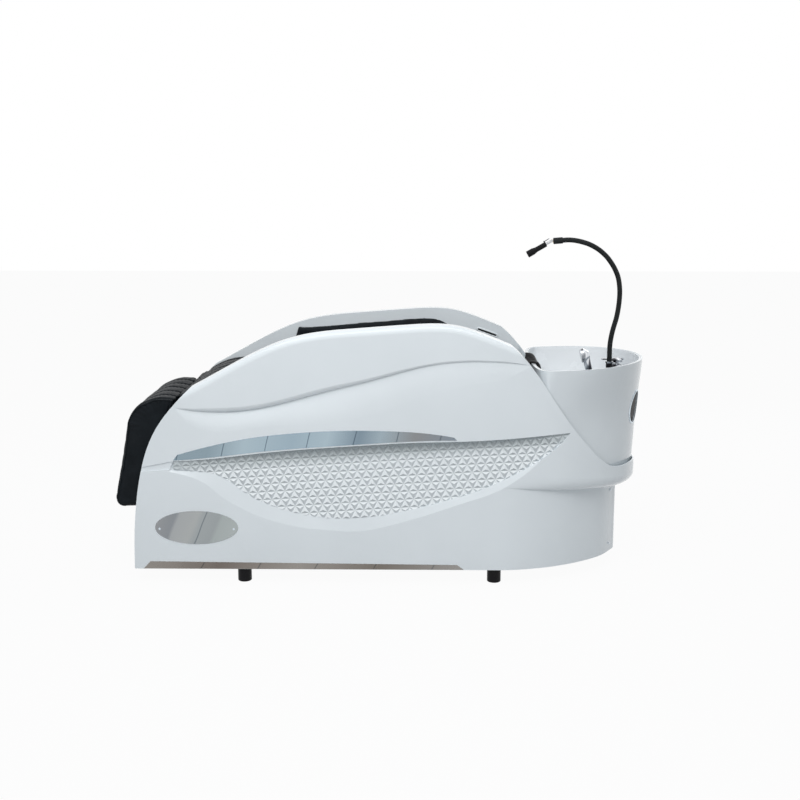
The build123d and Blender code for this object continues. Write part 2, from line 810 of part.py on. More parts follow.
oval_plane = Plane.XZ.offset(shell_half_width)
with BuildPart() as left_oval_plate:
    with BuildSketch(oval_plane):
        with Locations((oval_centre_x, oval_centre_z)):
            Ellipse(oval_length / 2, oval_height / 2)
    extrude(amount=trim_sheet)
save_pair(left_oval_plate.part, "oval_plate")

with BuildPart() as plate_screws:
    with BuildSketch(oval_plane.offset(trim_sheet)):
        for side in (-1, 1):
            with Locations((oval_centre_x + side * (oval_length / 2 - oval_screw_inset),
                            oval_centre_z - oval_screw_drop)):
                Circle(plate_screw_radius)
    extrude(amount=plate_screw_head)
    dome_edges = edges().filter_by(GeomType.CIRCLE).group_by(Axis.Y)[0]
    fillet(dome_edges, plate_screw_head * screw_dome_share)
    mirror(about=Plane.XZ)
save(plate_screws.part, "plate_screws")


# Upholstered side bolsters on the arms' inner walls
with BuildPart() as left_side_bolster:
    with BuildSketch(Plane.XZ.offset(arm_inner - seam_gap)):
        with BuildLine():
            upper = crest(bolster_top_shares)
            lower = crest(bolster_bottom_shares)
            Line(upper @ 1, lower @ 0)
            Line(lower @ 1, upper @ 0)
        make_face()
    extrude(amount=-bolster_thickness)
    face_edges = faces().sort_by(Axis.Y)[-1].edges()
    fillet(face_edges, bolster_taper)
save_pair(left_side_bolster.part, "side_bolster")


# The lying surface: one line that cushions and boards follow
lie_line = Edge.make_spline([Vector(x, 0, z) for x, z in place(lie_top_shares)])


def lie_height(x):
    """Height of the lying surface at one x, found by halving along the curve."""
    low, high = 0.0, 1.0
    for step in range(halvings):
        middle = (low + high) / 2
        if (lie_line @ middle).X < x:
            low = middle
        else:
            high = middle
    return (lie_line @ low).Z


def around_pivot(radius, degrees):
    """A point on a circle round the leg rest's pin."""
    return (pivot_x + radius * cos(radians(degrees)), pivot_z + radius * sin(radians(degrees)))


def lying_slice(left_x, right_x, drop, thickness, y, nose):
    """Side profile of a cushion between two x, its top lowered by drop."""
    inner = [half_length * share for share, z in lie_top_shares]
    xs = [left_x] + [x for x in inner if left_x + tube < x < right_x - tube] + [right_x]
    with BuildSketch(Plane.XZ.offset(-y)) as profile:
        with BuildLine():
            top_points = [(x, lie_height(x) - drop) for x in xs]
            if nose:
                start = around_pivot(knee_radius + knee_gap, nose_top_angle)
                middle = around_pivot(knee_radius + knee_gap, (nose_top_angle + nose_low_angle) / 2)
                end = around_pivot(knee_radius + knee_gap, nose_low_angle)
                top_points = [start] + top_points[1:]
                board_xs = [x for x in inner if board_left_x + tube < x < right_x - tube]
                low_xs = [board_left_x] + board_xs + [right_x]
                low_points = [(x, lie_height(x) - thickness) for x in low_xs]
                ThreePointArc(start, middle, end)
                Line(end, low_points[0])
            else:
                low_points = [(x, lie_height(x) - thickness) for x in xs]
                Line(low_points[0], top_points[0])
            Spline(*top_points)
            Line(top_points[-1], low_points[-1])
            Spline(*reversed(low_points))
        make_face()
    return profile.sketch




def lying_cushion(left_x, right_x, nose):
    """A crowned cushion lofted across the bed."""
    with BuildPart() as cushion:
        for across, drop_share in crown_shares:
            drop = crown_drop * drop_share
            add(lying_slice(left_x, right_x, drop, cushion_thickness, across * cushion_half_width, nose))
        loft()
    return cushion.part


seat_left_x = pivot_x + (knee_radius + knee_gap) * cos(radians(nose_top_angle))
seat_cushion = lying_cushion(seat_left_x, cushion_split_x - cushion_gap / 2, True)
save(seat_cushion, "seat_cushion")
back_right_x = half_length * lie_top_shares[-1][0]
back_cushion = lying_cushion(cushion_split_x + cushion_gap / 2, back_right_x, False)
save(back_cushion, "back_cushion")


def lying_board(left_x, right_x):
    """A bent plywood board under the cushions."""
    inner = [half_length * share for share, z in lie_top_shares]
    xs = [left_x] + [x for x in inner if left_x + tube < x < right_x - tube] + [right_x]
    top = cushion_thickness + seam_gap
    with BuildPart() as board:
        with BuildSketch(Plane.XZ.offset(-cushion_half_width)):
            with BuildLine():
                upper = Spline(*[(x, lie_height(x) - top) for x in xs])
                lower = Spline(*[(x, lie_height(x) - top - board_sheet) for x in reversed(xs)])
                Line(upper @ 1, lower @ 0)
                Line(lower @ 1, upper @ 0)
            make_face()
        extrude(amount=2 * cushion_half_width)
    return board.part


save(lying_board(board_left_x, cushion_split_x - cushion_gap / 2), "seat_board")
save(lying_board(cushion_split_x + cushion_gap / 2, back_right_x), "back_board")


# Leg rest: cushion, bent board and steel arms that turn on the pin
def leg_slice(drop, y, cheek):
    """Side profile of the leg cushion with its face set in by drop; a cheek covers the board's edge."""
    with BuildSketch(Plane.XZ.offset(-y)) as profile:
        with BuildLine():
            face_points = [around_pivot(knee_radius * share - drop, angle) for angle,
                           share in leg_face_shares]
            corner_top = (leg_front_x + drop, leg_bottom_z + drop + leg_corner_radius)
            corner_middle = (leg_front_x + drop + lip_round_share * leg_corner_radius,
                             leg_bottom_z + drop + lip_round_share * leg_corner_radius)
            corner_low = (leg_front_x + drop + leg_corner_radius, leg_bottom_z + drop)
            face = Spline(*face_points)
            Line(face @ 1, corner_top)
            ThreePointArc(corner_top, corner_middle, corner_low)
            knee_end = around_pivot(knee_inner_radius, leg_back_angle)
            if cheek:
                low_back = (leg_back_x + cheek_reach, leg_bottom_z + drop)
                cheek_line = [(pivot_x + knee_radius * x, pivot_z + knee_radius * z) for x,
                              z in cheek_shares]
                Polyline(corner_low, low_back, *cheek_line,
                         knee_end)
            else:
                inner_turn = around_pivot(knee_inner_radius, half_turn)
                back_lean = (inner_turn[0] - leg_back_x) / (inner_turn[1] - leg_bottom_z)
                Polyline(corner_low, (leg_back_x + back_lean * drop, leg_bottom_z + drop), inner_turn)
                ThreePointArc(inner_turn, around_pivot(knee_inner_radius, knee_middle_angle), knee_end)
            Line(knee_end, face @ 0)
        make_face()
    return profile.sketch


leg_board_half = leg_half_width - leg_board_sheet
with BuildPart() as cushion_core:
    for across, drop_share in crown_shares:
        add(leg_slice(leg_crown_drop * drop_share, across * leg_half_width, False))
    loft()

with BuildPart() as legrest_cushion:
    add(cushion_core.part)
    for side in (-1, 1):
        with BuildPart() as cheek_form:
            cheek_face = leg_slice(leg_crown_drop + cheek_inset, side * leg_half_width, True)
            extrude(cheek_face, amount=leg_board_sheet - seam_gap, dir=(0, -side, 0))
        add(cheek_form.part)
save(legrest_cushion.part, "legrest_cushion")

with BuildPart() as legrest_board:
    with BuildSketch(Plane.XZ.offset(-leg_board_half)):
        with BuildLine():
            outer_radius = knee_inner_radius - seam_gap
            inner_radius = outer_radius - leg_board_sheet
            outer_turn = around_pivot(outer_radius, half_turn)
            inner_turn = around_pivot(inner_radius, half_turn)
            low_outer = (leg_back_x + seam_gap, leg_bottom_z)
            low_inner = (leg_back_x + seam_gap + leg_board_sheet, leg_bottom_z)
            ThreePointArc(around_pivot(outer_radius, leg_back_angle),
                          around_pivot(outer_radius, knee_middle_angle),
                          outer_turn)
            Polyline(outer_turn, low_outer, low_inner, inner_turn)
            ThreePointArc(inner_turn, around_pivot(inner_radius, knee_middle_angle),
                          around_pivot(inner_radius, leg_back_angle))
            Line(around_pivot(inner_radius, leg_back_angle), around_pivot(outer_radius, leg_back_angle))
        make_face()
    extrude(amount=2 * leg_board_half)
save(legrest_board.part, "legrest_board")

board_back = around_pivot(inner_radius, half_turn)
arm_low_x = board_back[0] + (leg_back_x + leg_board_sheet - board_back[0]) * (pivot_z - arm_low_z) / (
    pivot_z - leg_bottom_z)
with BuildPart() as legrest_arms:
    for side in (-1, 1):
        with BuildSketch(Plane.XZ.offset(side * arm_y - arm_plate / 2)):
            with Locations((pivot_x, pivot_z)):
                Circle(arm_eye_radius)
            with BuildLine():
                Polyline((pivot_x, pivot_z + arm_eye_radius), (board_back[0] + seam_gap, pivot_z),
                         (arm_low_x + seam_gap, arm_low_z), (arm_low_x + arm_eye_radius, arm_low_z),
                         (pivot_x, pivot_z - arm_eye_radius), close=True)
            make_face()
            with Locations((pivot_x, pivot_z)):
                Circle(pivot_pin_radius + pin_fit, mode=Mode.SUBTRACT)
        extrude(amount=arm_plate)
save(legrest_arms.part, "legrest_arms")

# Steel frame: rails, cross tubes, posts, upper beams, basin posts and the leg rest's ears
rail_y = shell_half_width - shell_wall - rail_gap - tube / 2
rail_top = rail_bottom + tube
panel_rail_x = rail_rear_x - tube / 2


def tube_bore(low, high):
    """The hollow of one square tube: open at the ends of a level tube, closed on a post."""
    along = max(range(3), key=lambda axis: high[axis] - low[axis])
    inset = [0 if axis == along and axis < 2 else tube_wall for axis in range(3)]
    return box_between([c + i for c, i in zip(low, inset)], [c - i for c, i in zip(high, inset)])


def board_underside(x):
    """Lowest height of the boards over one tube's width."""
    probes = [lie_height(x - tube / 2), lie_height(x), lie_height(x + tube / 2)]
    return min(probes) - cushion_thickness - 4 * seam_gap - board_sheet


frame_tubes = []
for side in (-1, 1):
    rail = side * rail_y
    spine = side * spine_y
    frame_tubes.append(((rail_front_x, rail - tube / 2, rail_bottom),
                        (rail_rear_x, rail + tube / 2, rail_top)))
    frame_tubes.append(((panel_rail_x, spine - tube / 2, rail_bottom),
                        (spine_rear_x, spine + tube / 2, rail_top)))
for x in sorted(set(cross_places + post_x + [panel_rail_x, beam_front_x])):
    frame_tubes.append(((x - tube / 2, -rail_y, rail_bottom), (x + tube / 2, rail_y, rail_top)))
for x in post_x + [beam_front_x]:
    top_z = board_underside(x) if x in post_x else beam_front_z + tube
    beam_half = arm_inner - seam_gap
    frame_tubes.append(((x - tube / 2, -beam_half, top_z - tube), (x + tube / 2, beam_half, top_z)))
    for side in (-1, 1):
        post = side * post_y
        frame_tubes.append(((x - tube / 2, post - tube / 2, rail_bottom),
                            (x + tube / 2, post + tube / 2, top_z)))
frame_tubes.append(((spine_rear_x - tube, -spine_y, rail_bottom), (spine_rear_x, spine_y, rail_top)))

with BuildPart() as base_frame:
    add([box_between(low, high) for low, high in frame_tubes])
    add([tube_bore(low, high) for low, high in frame_tubes], mode=Mode.SUBTRACT)
    with BuildSketch(Plane.XY.offset(rail_bottom)):
        with Locations(*[(spine_rear_x - tube / 2, y) for y in inlet_y_places]):
            Circle(inlet_radius + seam_gap)
    extrude(amount=tube, mode=Mode.SUBTRACT)
save(base_frame.part, "base_frame")

ear_offset = arm_plate / 2 + ear_gap + ear_plate / 2
with BuildPart() as pivot_ears:
    for side in (-1, 1):
        for face in (-1, 1):
            y = side * arm_y + face * ear_offset
            with BuildSketch(Plane.XZ.offset(-y - ear_plate / 2)):
                with Locations((pivot_x, pivot_z)):
                    Circle(arm_eye_radius)
                with BuildLine():
                    Polyline((pivot_x + arm_eye_radius, pivot_z), (pivot_x - arm_eye_radius, pivot_z),
                             (beam_front_x - tube / 2 - seam_gap, beam_front_z),
                             (beam_front_x - tube / 2 - seam_gap, beam_front_z + tube), close=True)
                make_face()
                with Locations((pivot_x, pivot_z)):
                    Circle(pivot_pin_radius + pin_fit, mode=Mode.SUBTRACT)
            extrude(amount=ear_plate)
save(pivot_ears.part, "pivot_ears")

pin_half = arm_y + ear_offset + ear_plate / 2 + clip_sheet + ear_plate
with BuildPart() as pivot_pin:
    with BuildSketch(Plane.XZ.offset(-pin_half)):
        with Locations((pivot_x, pivot_z)):
            Circle(pivot_pin_radius)
    extrude(amount=2 * pin_half)
    chamfer(edges().filter_by(GeomType.CIRCLE), seam_gap)
save(pivot_pin.part, "pivot_pin")

with BuildPart() as pin_clips:
    for side in (-1, 1):
        y = side * (arm_y + ear_offset + ear_plate / 2 + clip_sheet / 2)
        with BuildSketch(Plane.XZ.offset(-y - clip_sheet / 2)):
            with Locations((pivot_x, pivot_z)):
                Circle(clip_radius)
                Circle(pivot_pin_radius + pin_fit, mode=Mode.SUBTRACT)
        extrude(amount=clip_sheet)
save(pin_clips.part, "pin_clips")

with BuildPart() as feet:
    with BuildSketch(Plane.XY):
        with Locations(*[(x, side * foot_y) for x in foot_x for side in (-1, 1)]):
            Circle(foot_radius)
    extrude(amount=rail_bottom)
    chamfer(edges().filter_by(GeomType.CIRCLE).group_by(Axis.Z)[0], clip_sheet)
save(feet.part, "feet")

# Front panel behind the leg rest
with BuildPart() as front_panel:
    with BuildSketch(Plane.XZ.offset(-arm_inner + seam_gap)):
        with BuildLine():
            low_front = place(front_edge_shares[:4])
            outer_curve = Spline(*[(x + front_inset, z) for x, z in low_front])
            inner_curve = Spline(*[(x + front_inset + shell_wall, z) for x, z in reversed(low_front)])
            Line(outer_curve @ 1, inner_curve @ 0)
            Line(inner_curve @ 1, outer_curve @ 0)
        make_face()
    extrude(amount=2 * (arm_inner - seam_gap))
save(front_panel.part, "front_panel")


# Basin tub: a thin skirt whose skin is lofted through egg shaped sections
def egg(front, back, centre, width, power):
    """A closed plan outline with a squarer front and a rounder back."""
    points = []
    for i in range(4 * tub_quarter_points):
        turn = radians(quarter_turn * i / tub_quarter_points)
        side_power = power if cos(turn) >= 0 else tub_front_power
        reach = back - centre if cos(turn) >= 0 else centre - front
        x = centre + reach * (1 if cos(turn) > 0 else -1) * abs(cos(turn)) ** (2 / side_power)
        y = width * (1 if sin(turn) > 0 else -1) * abs(sin(turn)) ** (2 / side_power)
        points.append((x, y))
    return points


def tub_skin(inset):
    """The tub's outer skin, moved inwards by inset, as a solid."""
    with BuildPart() as skin:
        for height_share, centre_share, back_share, width_share, power in tub_section_shares:
            with BuildSketch(Plane.XY.offset(height_share * shell_top)):
                with BuildLine():
                    Spline(*egg(tub_front_x + inset, back_share * half_length - inset,
                                centre_share * half_length,
                                width_share * shell_half_width - inset, power), periodic=True)
                make_face()
        loft()
    return skin.part


rim_slope = (rim_back_z - rim_front_z) / (half_length - tub_front_x)
rim_plane = Plane(origin=(tub_front_x, 0, rim_front_z), x_dir=(1, 0, rim_slope), z_dir=(-rim_slope, 0, 1))


def neck_notch(grown):
    """The scoop in the front rim for the neck, grown all round."""
    with BuildPart() as notch:
        with BuildSketch(Plane.YZ.offset(tub_front_x - overrun)):
            with Locations((0, rim_front_z - neck_notch_depth / 2 + overrun / 2)):
                RectangleRounded(2 * neck_notch_half_width, neck_notch_depth + overrun, neck_notch_radius
                                 * neck_round_share)
            if grown:
                offset(amount=grown)
        extrude(amount=overrun + neck_back_x - tub_front_x)
    return notch.part


access_plane = Plane(origin=(access_x, access_y, access_height),
                     x_dir=(-sin(radians(access_angle)), cos(radians(access_angle)), 0),
                     z_dir=(cos(radians(access_angle)), sin(radians(access_angle)), 0))


def access_prism(grown):
    """The oval access hole as a prism through the tub's wall."""
    with BuildPart() as prism:
        with BuildSketch(access_plane.offset(-2 * overrun)):
            Ellipse(access_width / 2 + grown, access_length / 2 + grown)
        extrude(amount=3 * overrun)
    return prism.part


with BuildPart() as basin_tub:
    add(tub_skin(0))
    add(tub_skin(tub_wall), mode=Mode.SUBTRACT)
    split(bisect_by=rim_plane, keep=Keep.BOTTOM)
    split(bisect_by=collar_top.offset(seam_gap), keep=Keep.TOP)
    add(neck_notch(0), mode=Mode.SUBTRACT)
    add(access_prism(0), mode=Mode.SUBTRACT)
save(basin_tub.part, "basin_tub")

with BuildPart() as access_bezel:
    add(tub_skin(-bezel_stand))
    add(tub_skin(0), mode=Mode.SUBTRACT)
    add(access_prism(bezel_width), mode=Mode.INTERSECT)
    add(access_prism(0), mode=Mode.SUBTRACT)
save(access_bezel.part, "access_bezel")

with BuildPart() as access_plug:
    add(tub_skin(bezel_stand))
    add(tub_skin(tub_wall), mode=Mode.SUBTRACT)
    add(access_prism(-seam_gap), mode=Mode.INTERSECT)
save(access_plug.part, "access_plug")

# Wash bowl hung inside the tub: wall, rear deck and the deep bowl with its drain
bowl_front_x = tub_front_x + tub_wall + bowl_wall + bowl_front_gap
bowl_middle_x = (bowl_front_x + bowl_back_x) / 2
bowl_reach = (bowl_back_x - bowl_front_x) / 2


def bowl_body(grown, low_z, high_z):
    """The deep bowl between two heights, grown all round."""
    with BuildPart() as bowl:
        for z, drawn in ((high_z, 0), ((high_z + low_z) / 2, bowl_draft * bowl_mid_share),
                         (low_z, bowl_draft)):
            with BuildSketch(Plane.XY.offset(z)):
                with Locations((bowl_middle_x, 0)):
                    Ellipse(bowl_reach + grown - drawn, bowl_half_width + grown - drawn)
        loft()
    return bowl.part


with BuildPart() as wash_bowl:
    add(tub_skin(tub_wall + bowl_gap))
    split(bisect_by=rim_plane.offset(-ring_drop), keep=Keep.BOTTOM)
    split(bisect_by=Plane.XY.offset(deck_z - bowl_wall), keep=Keep.TOP)
    with BuildPart(mode=Mode.PRIVATE) as ring_cavity:
        add(tub_skin(tub_wall + bowl_gap + bowl_wall))
        split(bisect_by=Plane.XY.offset(deck_z), keep=Keep.TOP)
    add(ring_cavity.part, mode=Mode.SUBTRACT)
    add(bowl_body(bowl_wall, bowl_floor_z - bowl_wall, deck_z))
    add(bowl_body(0, bowl_floor_z, deck_z + seam_gap), mode=Mode.SUBTRACT)
    add(neck_notch(0), mode=Mode.SUBTRACT)
    with BuildSketch(Plane.XY.offset(bowl_floor_z - 2 * bowl_wall)):
        with Locations((bowl_middle_x, 0)):
            Circle(drain_pipe_radius + seam_gap)
    extrude(amount=3 * bowl_wall, mode=Mode.SUBTRACT)
    with BuildSketch(Plane.XY.offset(deck_z - 2 * bowl_wall)):
        with Locations((mixer_x, mixer_y)):
            Circle(tail_radius + seam_gap)
        with Locations((goose_x, 0)):
            Circle(goose_tail_radius + seam_gap)
        with Locations((shower_x, shower_y)):
            Circle(holder_tail_radius + seam_gap)
    extrude(amount=3 * bowl_wall, mode=Mode.SUBTRACT)
save(wash_bowl.part, "wash_bowl")

# Rear service panel let into the base, with its screws
rear_service_panel = service_block(0, service_half_width, service_bottom, service_top) - service_block(
    service_sheet, service_half_width, service_bottom, service_top)
save(rear_service_panel, "rear_service_panel")

# Neck cushion: a saddle that fills the notch and lies over the rim beside it
neck_top_z = rim_front_z + neck_lip
neck_back_face = tub_front_x + tub_wall + bowl_gap + bowl_wall + seam_gap
with BuildPart() as neck_cushion:
    add(box_between((neck_front_x, -neck_half_width, rim_front_z + 2 * seam_gap),
                    (neck_back_x, neck_half_width, neck_top_z)))
    add(neck_notch(-seam_gap))
    with BuildSketch(Plane.YZ.offset(neck_back_face)):
        with Locations((0, rim_front_z - neck_drop / 2)):
            RectangleRounded(2 * neck_half_width, neck_drop, neck_notch_radius * neck_round_share)
    extrude(amount=neck_back_x - neck_back_face)
    with BuildSketch(Plane.YZ.offset(neck_front_x - overrun)):
        with BuildLine():
            dip_z = neck_top_z - neck_notch_depth * neck_dip_share
            saddle = Spline((-neck_half_width, rim_front_z + neck_lip / 2),
                            (-neck_half_width + neck_lip, neck_top_z),
                            (-neck_notch_half_width * neck_round_share, neck_top_z - neck_lip), (0, dip_z),
                            (neck_notch_half_width * neck_round_share, neck_top_z - neck_lip),
                            (neck_half_width - neck_lip, neck_top_z),
                            (neck_half_width, rim_front_z + neck_lip / 2))
            Polyline(saddle @ 1, (neck_half_width + overrun, rim_front_z + neck_lip / 2),
                     (neck_half_width + overrun, neck_top_z + 2 * overrun),
                     (-neck_half_width - overrun, neck_top_z + 2 * overrun),
                     (-neck_half_width - overrun, rim_front_z + neck_lip / 2), saddle @ 0)
        make_face()
    extrude(amount=neck_back_x - neck_front_x + 2 * overrun, mode=Mode.SUBTRACT)
    with BuildSketch(Plane.XZ.offset(-half_length)):
        with BuildLine():
            roll_x = neck_front_x + neck_lip
            nose = (neck_back_x, rim_front_z - 2 * neck_lip)
            Polyline((roll_x, neck_top_z), (roll_x, neck_top_z + overrun),
                     (neck_front_x, neck_top_z + overrun),
                     (neck_front_x, rim_front_z - neck_drop - overrun),
                     (neck_back_x, rim_front_z - neck_drop - overrun), nose)
            ThreePointArc(nose, (neck_back_x - neck_lip, rim_front_z), (roll_x, neck_top_z))
        make_face()
    extrude(amount=2 * half_length, mode=Mode.INTERSECT)
save(neck_cushion.part, "neck_cushion")

with BuildPart() as service_screws:
    for z in (service_bottom + service_ledge / 2, service_top - service_ledge / 2):
        for side in (-1, 1):
            y = side * (service_half_width - service_ledge / 2)
            share = 1 - (abs(y) / shell_half_width) ** base_power
            x = turn_x + base_reach * share ** (1 / base_power)
            with BuildSketch(Plane(origin=(x, y, z), z_dir=(1, side * service_screw_lean, 0))):
                Circle(service_screw_radius)
            extrude(amount=service_screw_head)
save(service_screws.part, "service_screws")


# Drain: flange, strainer, pipe, trap and outlet
def turned(x, y, points):
    """A solid of revolution about a vertical line, from radius and height points."""
    with BuildPart() as lathe:
        with BuildSketch(Plane(origin=(x, y, 0), x_dir=(1, 0, 0), z_dir=(0, -1, 0))):
            with BuildLine():
                Polyline(*points, close=True)
            make_face()
        revolve(axis=Axis((x, y, 0), (0, 0, 1)))
    return lathe.part


flange_top = bowl_floor_z + drain_flange_sheet
cup_floor = bowl_floor_z - bowl_wall - nut_height
pipe_inner = drain_pipe_radius - drain_pipe_wall
socket_depth = nut_height * trap_neck_share
save(turned(bowl_middle_x, 0, [
    (drain_pipe_radius, bowl_floor_z), (drain_flange_radius, bowl_floor_z),
    (drain_pipe_radius + drain_flange_sheet, flange_top), (pipe_inner, flange_top),
    (pipe_inner, trap_top_z - socket_depth), (drain_pipe_radius, trap_top_z - socket_depth)]),
    "drain_flange")

basket_radius = pipe_inner - seam_gap
basket_low = flange_top - strainer_depth
with BuildPart() as strainer:
    add(turned(bowl_middle_x, 0,
               [(0, flange_top + 2 * strainer_sheet), (strainer_radius, flange_top + strainer_sheet),
                                  (strainer_radius, flange_top), (basket_radius, flange_top),
                                  (basket_radius, basket_low), (basket_radius - strainer_sheet, basket_low),
                                  (basket_radius - strainer_sheet, flange_top), (0, flange_top)]))
    with BuildSketch(Plane.XY.offset(flange_top)):
        for ring_share, count in strainer_ring_shares:
            with Locations((bowl_middle_x, 0)):
                with PolarLocations(ring_share * strainer_radius, count):
                    Circle(strainer_hole_radius)
    extrude(amount=strainer_sheet * 2, mode=Mode.SUBTRACT)
save(strainer.part, "strainer")

save(turned(bowl_middle_x, 0, [(drain_pipe_radius + seam_gap, bowl_floor_z - bowl_wall - seam_gap),
                               (nut_radius, bowl_floor_z - bowl_wall - seam_gap),
                               (nut_radius, cup_floor), (drain_pipe_radius + seam_gap, cup_floor)]),
                               "drain_nut")

trap_low = trap_top_z - trap_height
trap_inner = trap_radius - drain_flange_sheet
outlet_top_z = trap_top_z - trap_height / 2
boss_end_x = bowl_middle_x - trap_radius - socket_depth
pipe_socket = drain_pipe_radius + seam_gap
with BuildPart() as bottle_trap:
    add(turned(bowl_middle_x, 0, [(0, trap_low), (trap_radius * trap_neck_share, trap_low),
                                  (trap_radius, trap_low + nut_height),
                                  (trap_radius, trap_top_z - nut_height),
                                  (nut_radius, trap_top_z), (0, trap_top_z)]))
    with BuildSketch(Plane.YZ.offset(boss_end_x)):
        with Locations((0, outlet_top_z)):
            Circle(pipe_socket + drain_flange_sheet)
    extrude(amount=bowl_middle_x - boss_end_x)
    cavity_low = trap_low + drain_flange_sheet
    cavity_top = trap_top_z - nut_height
    add(turned(bowl_middle_x, 0, [(0, cavity_low), (trap_inner * trap_neck_share, cavity_low),
                                  (trap_inner, cavity_low + nut_height),
                                  (trap_inner, cavity_top - drain_flange_sheet),
                                  (pipe_inner, cavity_top), (pipe_inner, trap_top_z - socket_depth),
                                  (pipe_socket, trap_top_z - socket_depth), (pipe_socket, trap_top_z),
                                  (0, trap_top_z)]), mode=Mode.SUBTRACT)
    with BuildSketch(Plane.YZ.offset(boss_end_x)):
        with Locations((0, outlet_top_z)):
            Circle(pipe_socket)
    extrude(amount=socket_depth, mode=Mode.SUBTRACT)
    with BuildSketch(Plane.YZ.offset(boss_end_x)):
        with Locations((0, outlet_top_z)):
            Circle(pipe_inner)
    extrude(amount=bowl_middle_x - boss_end_x, mode=Mode.SUBTRACT)
save(bottle_trap.part, "bottle_trap")

outlet_middle_x = boss_end_x - outlet_bend
with BuildPart() as drain_outlet:
    with BuildLine() as outlet_path:
        FilletPolyline((boss_end_x + socket_depth, 0, outlet_top_z), (outlet_middle_x, 0, outlet_top_z),
                       (outlet_middle_x, 0, outlet_z), radius=outlet_bend)
    with BuildSketch(Plane(origin=outlet_path.line @ 0, z_dir=outlet_path.line % 0)):
        Circle(drain_pipe_radius)
        Circle(pipe_inner, mode=Mode.SUBTRACT)
    sweep(path=outlet_path.line)
save(drain_outlet.part, "drain_outlet")


# Mixer tap
deck_tail_z = deck_z - tail_length
neck_top = deck_z + mixer_height + mixer_neck_height
save(turned(mixer_x, mixer_y, [
    (0, deck_tail_z), (tail_radius, deck_tail_z), (tail_radius, deck_z), (mixer_flange_radius, deck_z),
    (mixer_flange_radius, deck_z + mixer_flange_sheet / 2),
    (mixer_foot_radius, deck_z + mixer_flange_sheet),
    (mixer_radius, deck_z + mixer_height / 2), (mixer_radius, deck_z + mixer_height - flange_sheet),
    (mixer_radius - flange_sheet, deck_z + mixer_height), (mixer_neck_radius, deck_z + mixer_height),
    (mixer_neck_radius, neck_top), (stem_radius + running_fit, neck_top),
    (stem_radius + running_fit, neck_top - stem_seat), (0, neck_top - stem_seat)]), "mixer_body")

lever_pivot_z = deck_z + lever_pivot_height
with BuildPart() as mixer_stem:
    add(turned(mixer_x, mixer_y,
               [(0, neck_top - stem_seat + seam_gap), (stem_radius, neck_top - stem_seat + seam_gap),
                                  (stem_radius, lever_pivot_z + stem_radius),
                                  (0, lever_pivot_z + stem_radius)]))
    with BuildSketch(Plane.XZ.offset(-mixer_y - stem_radius)):
        with Locations((mixer_x, lever_pivot_z)):
            Circle(stem_pin_radius + running_fit)
    extrude(amount=2 * stem_radius, mode=Mode.SUBTRACT)
save(mixer_stem.part, "mixer_stem")

with BuildPart() as mixer_lever:
    add(turned(mixer_x, mixer_y, [(0, deck_z + dome_low), (dome_radius, deck_z + dome_low),
                                  (dome_radius, deck_z + dome_high - 2 * flange_sheet),
                                  (dome_radius - flange_sheet, deck_z + dome_high - flange_sheet),
                                  (dome_radius / 2, deck_z + dome_high), (0, deck_z + dome_high)]))
    with BuildSketch(Plane.XY.offset(deck_z + lever_low)):
        with BuildLine():
            Polyline((mixer_x - lever_length, mixer_y - lever_tip_width / 2),
                     (mixer_x + lever_tail, mixer_y - lever_width / 2),
                     (mixer_x + lever_tail, mixer_y + lever_width / 2),
                     (mixer_x - lever_length, mixer_y + lever_tip_width / 2), close=True)
        make_face()
        fillet(vertices(), lever_tip_width / 3)
    extrude(amount=lever_sheet)
    add(turned(mixer_x, mixer_y, [(0, deck_z), (dome_cavity_radius, deck_z),
                                  (dome_cavity_radius, deck_z + dome_low + dome_cavity_height),
                                  (0, deck_z + dome_low + dome_cavity_height)]), mode=Mode.SUBTRACT)
    slot_half = stem_radius + seam_gap
    add(box_between((mixer_x - mixer_neck_radius, mixer_y - slot_half, deck_z + dome_low),
                    (mixer_x + mixer_neck_radius, mixer_y + slot_half,
                     deck_z + dome_low + dome_slot_height)),
        mode=Mode.SUBTRACT)
    with BuildSketch(Plane.XZ.offset(-mixer_y - dome_radius)):
        with Locations((mixer_x, lever_pivot_z)):
            Circle(stem_pin_radius)
    extrude(amount=2 * dome_radius, mode=Mode.SUBTRACT)
save(mixer_lever.part, "mixer_lever")

pin_half_length = dome_radius - flange_sheet
with BuildPart() as mixer_pin:
    with BuildSketch(Plane.XZ.offset(-mixer_y - pin_half_length)):
        with Locations((mixer_x, lever_pivot_z)):
            Circle(stem_pin_radius)
    extrude(amount=2 * pin_half_length)
save(mixer_pin.part, "mixer_pin")


def deck_nut(x, y, tail):
    """A six-sided nut under the deck round one fitting's tail."""
    with BuildPart() as nut:
        with BuildSketch(Plane.XY.offset(deck_z - bowl_wall - seam_gap)):
            with Locations((x, y)):
                RegularPolygon(tail + deck_nut_step, 6)
                Circle(tail + seam_gap, mode=Mode.SUBTRACT)
        extrude(amount=-deck_nut_height)
    return nut.part


with BuildPart() as deck_nuts:
    add(deck_nut(mixer_x, mixer_y, tail_radius))
    add(deck_nut(goose_x, 0, goose_tail_radius))
    add(deck_nut(shower_x, shower_y, holder_tail_radius))
save(deck_nuts.part, "deck_nuts")

# Hand shower and its cup
cup_top = deck_z + holder_height
save(turned(shower_x, shower_y, [
    (0, deck_z - tail_length / 2), (holder_tail_radius, deck_z - tail_length / 2),
    (holder_tail_radius, deck_z),
    (holder_radius + flange_step, deck_z), (holder_radius + flange_step, deck_z + flange_sheet),
    (holder_radius, deck_z + flange_sheet), (holder_radius, cup_top), (holder_bore_radius, cup_top),
    (holder_bore_radius, deck_z + flange_sheet), (0, deck_z + flange_sheet)]), "shower_holder")

